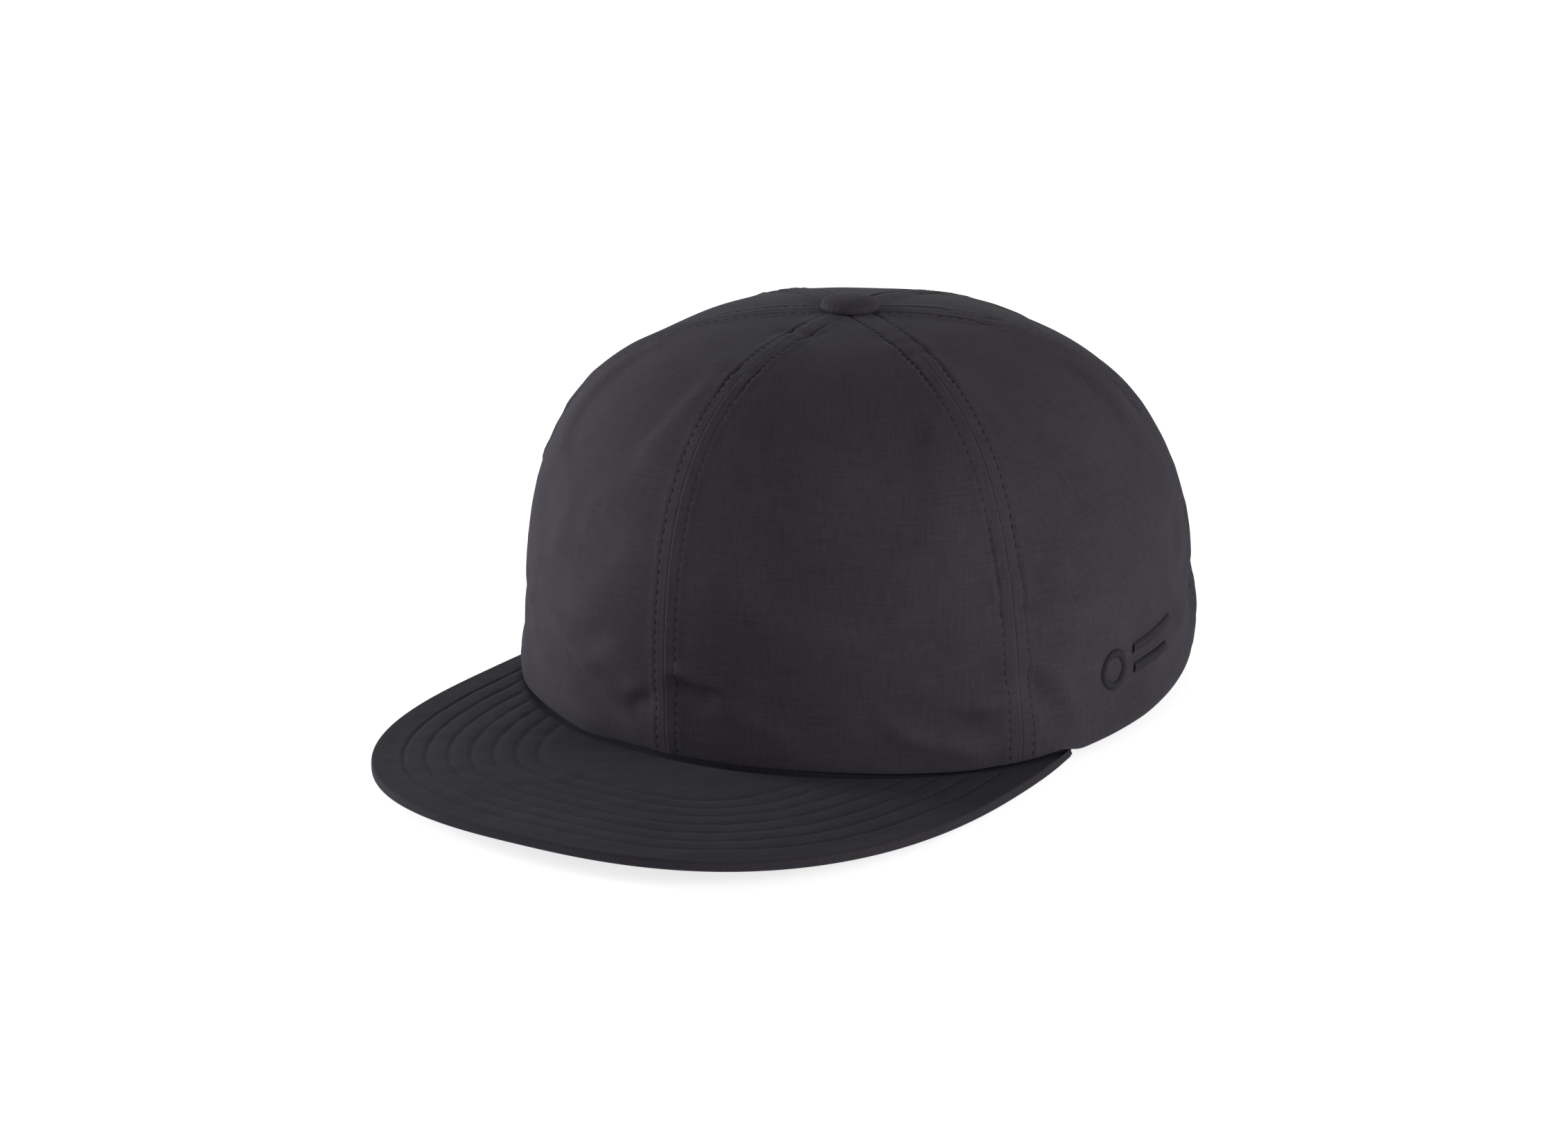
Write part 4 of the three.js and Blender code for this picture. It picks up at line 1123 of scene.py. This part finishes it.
def sweatband():
    """The band against the forehead: brushed knit, its upper edge turned over and sewn."""
    end = 180 - math.asin(ARCH_HALF_WIDTH / HALF_WIDTH) / RAD - 1
    angles = np.linspace(-end, end, 520) * RAD
    foot, top = alpha_at_height(angles, 0.9), alpha_at_height(angles, BAND_HEIGHT)
    theta, alpha = sheet_between(angles, foot, top, 40)
    height = np.linspace(0, 1, 40)[None] * BAND_HEIGHT
    rear = band_rear(theta)
    stretched = below_crown(theta, alpha, 0) * [1, 1, 0.25]
    wave = 0.20 * noise(stretched, 7.0) + 0.14 * noise(stretched, 3.2, 3.0)
    roll = 0.35 * bell(height - BAND_HEIGHT + 1.6, 1.4) + 0.25 * bell(height - 1.6, 1.4)
    groove = 0.45 * bell(height - BAND_HEIGHT + 4.2, 0.6) + 0.4 * bell(height - 4.2, 0.6)
    calm = 1 - bell(np.abs(theta / RAD - 105), 10)
    puff = (wave * 0.8 + roll) * calm * 0.7 - groove
    outer = below_crown(theta, alpha, BAND_DEPTHS[0] + rear)
    inner = below_crown(theta, alpha, BAND_DEPTHS[1] + rear - 0.25 + puff)
    form = slab(outer, inner, sheet_uv(theta * HEM_RADIUS, height))
    new_piece("sweatband", form, BAND_LOOK)
    parts = []
    for row in (4.2, BAND_HEIGHT - 4.2):
        line = np.linspace(-end + 1, end - 1, 600) * RAD
        depth = BAND_DEPTHS[1] - 0.45 + band_rear(line)
        parts.append(inner_stitches(line, alpha_at_height(line, row), depth, 3.2, sink=-0.05))
    sew("sweatband_stitching", parts)


sweatband()


def size_label():
    """A plain woven label on the band, with a raised border and a stitch row at each end."""
    angles = np.linspace(97.8, 112.2, 60) * RAD
    theta, alpha = sheet_between(angles, alpha_at_height(angles, 6.3), alpha_at_height(angles, 21.7), 44)
    u, v = np.linspace(-1, 1, 60)[:, None], np.linspace(-1, 1, 44)[None]
    edge = np.maximum(np.abs(u), np.abs(v))
    border = 0.07 * bell(edge - 0.86, 0.03) + 0.07 * bell(edge - 0.74, 0.02)
    out = BAND_DEPTHS[1] + 0.3
    curl = 0.12 * np.maximum(np.abs(u) - 0.6, 0) * noise(below_crown(theta, alpha, 0), 6.0)
    outer = below_crown(theta, alpha, out)
    inner = below_crown(theta, alpha, out + 0.28 + border + curl)
    form = slab(outer, inner, sheet_uv(theta * HEM_RADIUS, v * 8))
    new_piece("size_label", form, LABEL_LOOK)
    up = np.linspace(alpha[0, 0], alpha[0, -1], 60)
    parts = [inner_stitches(np.full(60, side * RAD), up, out + 0.32, 2.2) for side in (98.8, 111.2)]
    sew("size_label_stitching", parts)


size_label()

# ------------------------------------------------------------------ touch fasteners

TAB_WIDTH, TAB_FOOT, TAB_TOP = 15, 33, 44  # degrees
BRISTLE = 0.35
TABS = [("front_left", 22.5), ("front_right", -37.5), ("rear_left", 142.5), ("rear_right", -157.5)]


def tab(name, start, depths, body, look, face):
    """One tab: a bristly face (0 the outer, 1 the inner) on a flat backing."""
    columns, rows = 110, 80
    angles = np.linspace(start + 0.2, start + TAB_WIDTH - 0.2, columns) * RAD
    theta, alpha = sheet_between(angles, TAB_FOOT * RAD, TAB_TOP * RAD, rows)
    spot = below_crown(theta, alpha, 0)
    u, v = np.abs(np.linspace(-1, 1, columns))[:, None], np.abs(np.linspace(-1, 1, rows))[None]
    inside = (1 - ramp(u, 0.93, 1)) * (1 - ramp(v, 0.91, 1))
    fuzz = BRISTLE * (0.5 + 0.5 * noise(spot, 0.55)) * inside
    depth = [depths[0] + 0.1, depths[1] - 0.1]
    depth[face] = depth[face] + (BRISTLE - fuzz) * (1 if face == 0 else -1)
    outer, inner = (below_crown(theta, alpha, d) for d in depth)
    uv = np.stack([theta * 90, alpha * 100], -1)
    new_piece(name, slab(outer, inner, uv), look, body)


for place, start in TABS:
    tab("loop_tab_" + place, start, LOOP_DEPTHS, "cap", LOOP_LOOK, 1)
    tab("hook_tab_" + place, start, HOOK_DEPTHS, "insert", HOOK_LOOK, 0)

# ------------------------------------------------------------------ protective shell

SHELL_FRONT_EDGE, SHELL_REAR_EDGE = 32.0, 50.0
VENT_WIDTH = 5.0
VENTS = [(side * degrees, 47, 20) for degrees in (15, 60, 75, 90, 105, 120, 165) for side in (-1, 1)]
VENTS += [(degrees, 72, 14) for degrees in range(0, 360, 60)]


def vent_frame(degrees, alpha_degrees):
    """Middle of a vent and its upward, sideways and outward directions."""
    theta, alpha = np.array([degrees * RAD]), np.array([alpha_degrees * RAD])
    point, normal, _, _ = crown(theta, alpha)
    up = unit(crown_outer(theta, alpha + 0.02)[0] - crown_outer(theta, alpha - 0.02)[0])[0]
    middle = point[0] - normal[0] * sum(SHELL_DEPTHS) / 2
    return middle, up, np.cross(up, normal[0]), normal[0]


def vent_distance(points, degrees, alpha_degrees, length):
    """Distance outside a vent's rounded slot."""
    middle, up, side, _ = vent_frame(degrees, alpha_degrees)
    along = np.maximum(np.abs((points - middle) @ up) - (length - VENT_WIDTH) / 2, 0)
    return np.hypot(along, (points - middle) @ side) - VENT_WIDTH / 2


def vent_cutter(degrees, alpha_degrees, length):
    middle, up, side, normal = vent_frame(degrees, alpha_degrees)
    turn = full_turn(32)
    straight = (length - VENT_WIDTH) / 2 * np.sign(np.sin(turn) + 1e-9)
    outline = (up * (straight + VENT_WIDTH / 2 * np.sin(turn))[:, None]
               + side * (VENT_WIDTH / 2 * np.cos(turn))[:, None])
    rings = np.stack([middle + outline + normal * k for k in (-5.0, 5.0)])
    return loft(rings, rings[..., :2])


def protective_shell():
    """The moulded dome: a thickened rim, a raised lip round every vent and stiffening ribs."""
    angles = full_turn(400, -math.pi)
    edge = mix(SHELL_FRONT_EDGE, SHELL_REAR_EDGE, ramp(np.abs(angles) / RAD, 105, 160))
    foot, top = alpha_at_height(angles, edge), alpha_near_apex(angles, 1.5)
    theta, alpha = sheet_between(angles, foot, top, 110)
    middle, reach = below_crown(theta, alpha, sum(SHELL_DEPTHS) / 2), crown_outer(theta, alpha)[2]
    lip = 0 * theta
    for vent in VENTS:
        away = vent_distance(middle, *vent)
        lip = np.maximum(lip, bell(np.maximum(away - 0.8, 0), 0.7))
    from_rim = length_up(theta, alpha) - length_up(theta, alpha[:, :1])
    between = theta + SEAM_TURN / 2  # the ribs run midway between the crown's seams
    rib_turn = np.abs(between - np.round(between / SEAM_TURN) * SEAM_TURN)
    rib = bell(np.maximum(rib_turn * reach - 1.4, 0), 0.6) * ramp(from_rim, 3, 8) * ramp(reach, 18, 30)
    raised = np.maximum(lip, bell(np.maximum(from_rim - 2.0, 0), 0.8))
    outer = below_crown(theta, alpha, SHELL_DEPTHS[0] + 0.25 - 0.35 * raised - 0.3 * rib * (1 - lip))
    inner = below_crown(theta, alpha, SHELL_DEPTHS[1] - 0.25 + 0.25 * raised)
    roll = np.stack(rolled_edge(outer[:, 0], outer[:, 1], inner[:, 0], 6), 1)
    rings = np.moveaxis(np.concatenate([outer[:, ::-1], roll, inner], 1), 1, 0)
    form = loft(rings, rings[..., :2])
    shell = new_piece("protective_shell", form, SHELL_LOOK, "insert")
    cut_holes(shell, *join_parts([vent_cutter(*vent) for vent in VENTS])[:2])


def cut_holes(piece, vertices, faces):
    mesh = new_mesh("cutters", vertices, faces)
    turn_faces_out(mesh)
    cutters = add_object("cutters", mesh)
    modifier = piece.modifiers.new("vents", "BOOLEAN")
    modifier.operation, modifier.object, modifier.solver = "DIFFERENCE", cutters, "EXACT"
    done = piece.evaluated_get(bpy.context.evaluated_depsgraph_get())
    cut = bpy.data.meshes.new_from_object(done)
    piece.modifiers.clear()
    piece.data = cut
    bpy.data.objects.remove(cutters)
    cut.shade_smooth()


protective_shell()

# ------------------------------------------------------------------ foam pads

PADS = [
    ("pad_front", -37.5, 37.5, 23, 40, 4),
    ("pad_side_left", 60, 112.5, 23, 38, 3),
    ("pad_side_right", -112.5, -60, 23, 38, 3),
    ("pad_rear_left", 135, 172.5, 36, 50, 2),
    ("pad_rear_right", -172.5, -135, 36, 50, 2),
]
PAD_EDGE = 1.1


def puffed(edge_distance, radius=6.0):
    """How full a pad is, from 0 at its edge to 1 well inside."""
    t = np.clip(edge_distance / radius, 0, 1)
    return np.sqrt(1 - (1 - t) ** 2)


def pad_faces(theta, alpha, full):
    """The two faces of a pad whose fullness is given, and which is a little uneven."""
    spot = below_crown(theta, alpha, PAD_DEPTHS[1])
    soft = 0.25 * noise(spot, 8.0) + 0.1 * noise(spot, 3.0, 2.0)
    flat = PAD_DEPTHS[0] + 0.2
    thick = PAD_DEPTHS[1] - 0.2 - flat
    inner = below_crown(theta, alpha, flat + PAD_EDGE + (thick - PAD_EDGE + soft) * full)
    return below_crown(theta, alpha, flat), inner


def foam_pad(name, left, right, low, high, cells):
    """A crowned foam pad in knitted mesh, sewn across into cells."""
    columns, rows = 40 * cells, 60
    angles = np.linspace(left + 0.6, right - 0.6, columns) * RAD
    theta, alpha = sheet_between(angles, (low + 0.4) * RAD, (high - 0.4) * RAD, rows)
    spot = below_crown(theta, alpha, PAD_DEPTHS[1])
    along, up = distance_along(spot[:, rows // 2]), distance_along(spot[columns // 2])
    edge = np.minimum(np.minimum(along, along[-1] - along)[:, None], np.minimum(up, up[-1] - up)[None])
    full = puffed(edge)
    for k in range(1, cells):
        away = np.abs(along - along[-1] * k / cells)[:, None]
        full = full * (0.42 + 0.58 * puffed(away + 0 * edge, 4.5))
    outer, inner = pad_faces(theta, alpha, full)
    form = slab(outer, inner, sheet_uv(along[:, None], up[None]))
    new_piece(name, form, PAD_LOOK, "insert")
    parts = []
    for k in range(1, cells):
        column = int(round((columns - 1) * k / cells))
        path = inner[column, 5:-5]
        parts.append(stitches(path, -crown(theta[column, 5:-5], alpha[column, 5:-5])[1], 2.6))
    return parts


def crown_pad():
    """The round pad under the top of the shell, sewn in a ring."""
    angles, radius, ring = full_turn(240, -math.pi), 33.5, 17
    foot, top = alpha_near_apex(angles, radius), alpha_near_apex(angles, 1.0)
    theta, alpha = sheet_between(angles, foot, top, 90)
    reach = crown_outer(theta, alpha)[2]
    full = puffed(radius - reach) * (0.45 + 0.55 * puffed(np.abs(reach - ring), 4.5))
    outer, inner = pad_faces(theta, alpha, full)
    rings = np.moveaxis(np.concatenate([outer[:, ::-1], inner], 1), 1, 0)
    new_piece("pad_crown", loft(rings, rings[..., :2]), PAD_LOOK, "insert")
    row = int(np.argmin(np.abs(reach[0] - ring)))
    path = np.concatenate([inner[:, row], inner[:1, row]])
    normals = -crown(theta[:, row], alpha[:, row])[1]
    return [stitches(path, np.concatenate([normals, normals[:1]]), 2.6)]


pad_rows = crown_pad()
for pad in PADS:
    pad_rows += foam_pad(*pad)
sew("pad_stitching", pad_rows, "insert")

# ------------------------------------------------------------------ rear straps and buckle

STRAP_MIDDLE = STRAP_BOTTOM + STRAP_WIDTH / 2
BUCKLE_ANGLE, BAR_ALONG, BAR_OUT, BAR_BEND = 8.0, 11.2, -4.6, 1.2
ANCHOR_END, ANCHOR_THICKNESS, ANCHOR_TAIL = 46.0, 0.8, 7.0


def on_strap(degrees, radius, height):
    """A point of the leaning strap: degrees round from the back, growing towards +X."""
    turn = np.asarray(degrees) * RAD
    lean = radius - math.tan(STRAP_LEAN * RAD) * (height - STRAP_MIDDLE)
    x, y, z = np.broadcast_arrays(lean * np.sin(turn), STRAP_CENTRE_Y + lean * np.cos(turn), height)
    return np.stack([x, y, z], -1)


def strap_normals(degrees):
    turn = np.asarray(degrees) * RAD
    return np.stack([np.sin(turn), np.cos(turn), 0 * turn], -1)


def webbing(name, body, degrees, outer_radius, inner_radius, low, high):
    """A flat strap: rounded edges, a groove along each edge's stitch row, a little waviness."""
    rows = 36
    height = np.linspace(low + 0.2, high - 0.2, rows)[None]
    degrees = degrees[:, None]
    spot = on_strap(degrees, outer_radius, height)
    from_edge = np.minimum(height - low, high - height)
    wave = 0.12 * noise(spot, 11.0) + 0.05 * noise(spot, 3.0, 2.0)
    groove = 0.12 * bell(from_edge - 2.0, 0.45)
    outer = on_strap(degrees, outer_radius - 0.12 + wave * 0.5 - groove, height)
    inner = on_strap(degrees, inner_radius + 0.12 + groove, height)
    form = slab(outer, inner, sheet_uv(height, distance_along(spot[:, 0])[:, None]))
    new_piece(name, form, STRAP_LOOK, body)


def adjuster_strap():
    degrees = np.linspace(STRAP_END, STRAP_START, 260)
    low, high = STRAP_BOTTOM, STRAP_BOTTOM + STRAP_WIDTH
    webbing("adjuster_strap", "strap", degrees, STRAP_RADIUS, STRAP_RADIUS - STRAP_THICKNESS, low, high)
    parts = []
    for height in (low + 2.0, high - 2.0):
        for radius, side in ((STRAP_RADIUS - 0.14, 1), (STRAP_RADIUS - STRAP_THICKNESS + 0.14, -1)):
            parts.append(stitches(on_strap(degrees, radius, height), side * strap_normals(degrees)))
    up = np.linspace(low + 2.0, high - 2.0, 40)
    for turn in (STRAP_END - 2.0, STRAP_END - 8.0):
        path = on_strap(np.full(40, turn), STRAP_RADIUS - 0.1, up)
        parts.append(stitches(path, strap_normals(np.full(40, turn))))
    sew("adjuster_strap_stitching", parts, "strap")


adjuster_strap()


def anchor_strap():
    """The short strap: sewn in at the left, folded round the buckle's bar and back on itself."""
    bar_radius = math.hypot(BAR_ALONG, STRAP_RADIUS + BAR_OUT)
    bar_degrees = BUCKLE_ANGLE + math.atan2(BAR_ALONG, STRAP_RADIUS + BAR_OUT) / RAD
    bar = np.array([bar_radius * math.sin(bar_degrees * RAD), bar_radius * math.cos(bar_degrees * RAD)])
    reach = BAR_BEND + ANCHOR_THICKNESS
    turn = np.linspace(90, 270, 26)[1:-1] * RAD - bar_degrees * RAD
    bend = []
    for r in (reach, BAR_BEND):
        spokes = bar + r * np.stack([np.cos(turn), np.sin(turn)], -1)
        bend.append((np.arctan2(spokes[:, 0], spokes[:, 1]) / RAD, np.hypot(*spokes.T)))
    low = STRAP_BOTTOM + 0.6
    height = np.linspace(low, low + STRAP_WIDTH - 1.2, 34)[None]
    run, tail = np.linspace(ANCHOR_END, bar_degrees, 90), bar_degrees + np.linspace(0, ANCHOR_TAIL, 24)
    faces = []
    for (bend_degrees, bend_radius), r in zip(bend, (reach, BAR_BEND)):
        degrees = np.concatenate([run, bend_degrees, tail])
        radii = np.concatenate([0 * run + bar_radius + r, bend_radius, 0 * tail + bar_radius - r])
        faces.append(on_strap(degrees[:, None], radii[:, None], height))
    along = distance_along(faces[0][:, 0])[:, None]
    new_piece("anchor_strap", slab(*faces, sheet_uv(height, along)), STRAP_LOOK)
    parts = []
    run = np.linspace(ANCHOR_END - 1, bar_degrees + 2, 60)
    for h in (low + 1.8, low + STRAP_WIDTH - 3.0):
        parts.append(stitches(on_strap(run, bar_radius + reach, h), strap_normals(run)))
    up = np.linspace(low + 1.8, low + STRAP_WIDTH - 3.0, 40)
    for turn in (bar_degrees + 4.2, bar_degrees + 5.6):
        across = np.full(40, turn)
        parts.append(stitches(on_strap(across, bar_radius + reach, up), strap_normals(across), 2.0))
    sew("anchor_strap_stitching", parts)


anchor_strap()

# ------------------------------------------------------------------ tone-on-tone embroidery


def satin(theta, height, across, pitch=0.36):
    """Close threads laid across a line that runs over the crown; `across` is their length in mm."""
    path, normal = cloth_frame(theta, alpha_at_height(theta, height))
    along = distance_along(path)
    spots = np.arange(pitch / 2, along[-1], pitch)
    centre, out = at_distance(spots, along, path), unit(at_distance(spots, along, normal))
    forward = unit(np.gradient(centre, axis=0))
    side = unit(np.cross(out, forward) + 0.25 * forward)
    return threads(centre - side * across / 2, centre + side * across / 2, out, 0.24, 1.6, -0.15)


def embroidery():
    """A plain ring beside two bars, in thread of the cloth's own colour."""
    reach, height, radius = 92.0, 16.5, 4.6
    turn = np.linspace(0, 2 * math.pi, 120)
    ring = 81.5 * RAD + radius * np.cos(turn) / reach
    parts = [satin(ring, height + radius * np.sin(turn), 2.6)]
    for up, end in ((2.9, 101.0), (-2.9, 97.0)):
        share = np.linspace(0, 1, 80)
        parts.append(satin((87.2 + (end - 87.2) * share) * RAD, height + up + 0 * share, 3.2))
    sew("side_embroidery", parts, look=EMBROIDERY_LOOK)


embroidery()

# ------------------------------------------------------------------ CAD pieces that stay


def finish_cad(node, look, edge=0.0):
    """Gives a CAD piece its material and, with an edge width in mm, rounded edges."""
    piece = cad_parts[node]
    for slot in piece.material_slots:
        slot.link = "OBJECT"
        slot.material = look
    if edge:
        bevel = piece.modifiers.new("edges", "BEVEL")
        bevel.width, bevel.segments = edge * MM, 3
        bevel.limit_method, bevel.angle_limit = "ANGLE", 35 * RAD
        bevel.harden_normals = True


finish_cad("brim_board", BOARD_LOOK)
finish_cad("button_rivet", RIVET_LOOK, 0.15)
finish_cad("button_washer", RIVET_LOOK, 0.12)
for part in ("buckle_frame", "buckle_lever", "buckle_pin"):
    finish_cad(part, BUCKLE_LOOK, 0.14)

# ------------------------------------------------------------------ scene

AZIMUTH, ELEVATION, ROLL = 29.08, 16.91, 0.92  # degrees
DISTANCE, LENS, SENSOR = 1192.7, 95.96, 36.0
TARGET = ORIGIN + [0.0, 0.0, 51.5]
ASIDE, ABOVE = 22.7, 25.1  # where the target sits from the middle of the picture, in mm


def add_camera():
    """A camera round and above the target, rolled a little and shifted to place the cap."""
    a, e, r = AZIMUTH * RAD, ELEVATION * RAD, ROLL * RAD
    back = np.array([math.sin(a) * math.cos(e), -math.cos(a) * math.cos(e), math.sin(e)])
    level = np.array([math.cos(a), math.sin(a), 0.0])
    rise = np.cross(back, level)
    right = math.cos(r) * level + math.sin(r) * rise
    up = -math.sin(r) * level + math.cos(r) * rise
    place = TARGET + back * DISTANCE
    forward = Vector(TARGET - right * ASIDE - up * ABOVE - place).normalized()
    side = forward.cross(Vector(up)).normalized()
    top = side.cross(forward)
    camera = add_object("camera", bpy.data.cameras.new("camera"))
    camera.data.lens, camera.data.sensor_width = LENS, SENSOR
    rows = [[side[k], top[k], -forward[k], place[k] * MM] for k in range(3)]
    camera.matrix_world = Matrix([*rows, [0, 0, 0, 1]])
    bpy.context.scene.camera = camera


def add_light(name, place, size, power, tint=(1, 1, 1)):
    light = add_object(name, bpy.data.lights.new(name, "AREA"))
    light.data.size, light.data.energy, light.data.color = size, power, tint
    light.location = place
    light.visible_camera = False
    aim = Vector((0, 0, 0.05)) - Vector(place)
    light.rotation_euler = aim.to_track_quat("-Z", "Y").to_euler()


def add_floor():
    """White, under the resting cap, and see-through from below."""
    low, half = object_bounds()[0].z, 9.0
    mesh = bpy.data.meshes.new("floor")
    corners = [(x * half, y * half, low) for x, y in ((-1, -1), (1, -1), (1, 1), (-1, 1))]
    mesh.from_pydata(corners, [], [(0, 1, 2, 3)])
    n = Nodes("floor")
    n.set(Base_Color=(0.9, 0.9, 0.9, 1), Roughness=0.8)
    glow = n.times(n.new("LightPath")["Is Camera Ray"], FLOOR_GLOW)
    n.set(Emission_Color=(1, 1, 1, 1), Emission_Strength=glow)
    n.set(Alpha=n.maths("SUBTRACT", 1.0, n.new("NewGeometry")["Backfacing"]))
    mesh.materials.append(n.owner)
    floor = add_object("floor", mesh)
    floor.visible_shadow = False  # lets the light below it reach the cap's underside


HORIZON, ZENITH = 1.04, 0.01  # brightness of the surroundings
KEY_POWER, FILL_POWER, BOUNCE_POWER = 25, 11, 9
FLOOR_GLOW = 0.72


def add_sky():
    """White to the camera, and for light bright at the horizon and dim overhead."""
    n = Nodes("studio", "worlds")
    up = n.new("SeparateXYZ", {0: n.new("TexCoord")["Generated"]})[2]
    fall = n.node("MapRange", {"Value": up, "To Min": HORIZON, "To Max": ZENITH})
    surroundings = n.times(fall, n.maths("GREATER_THAN", up, 0.0))
    seen = n.new("LightPath")["Is Camera Ray"]
    strength = n.node("Mix", {"Factor": seen, "A": surroundings, "B": 1.0})
    n.set(Color=(1, 1, 1, 1), Strength=strength)
    bpy.context.scene.world = n.owner


def add_studio():
    add_sky()
    add_light("key", (-1.85, -0.4, 0.42), 0.6, KEY_POWER, (0.97, 0.98, 1.0))
    add_light("fill", (1.65, 0.3, 0.42), 0.8, FILL_POWER, (1.0, 0.97, 0.98))
    add_light("bounce", (0, 0.03, -0.7), 0.9, BOUNCE_POWER)
    bpy.context.scene.view_settings.view_transform = "Standard"
    add_floor()
    add_camera()


add_studio()
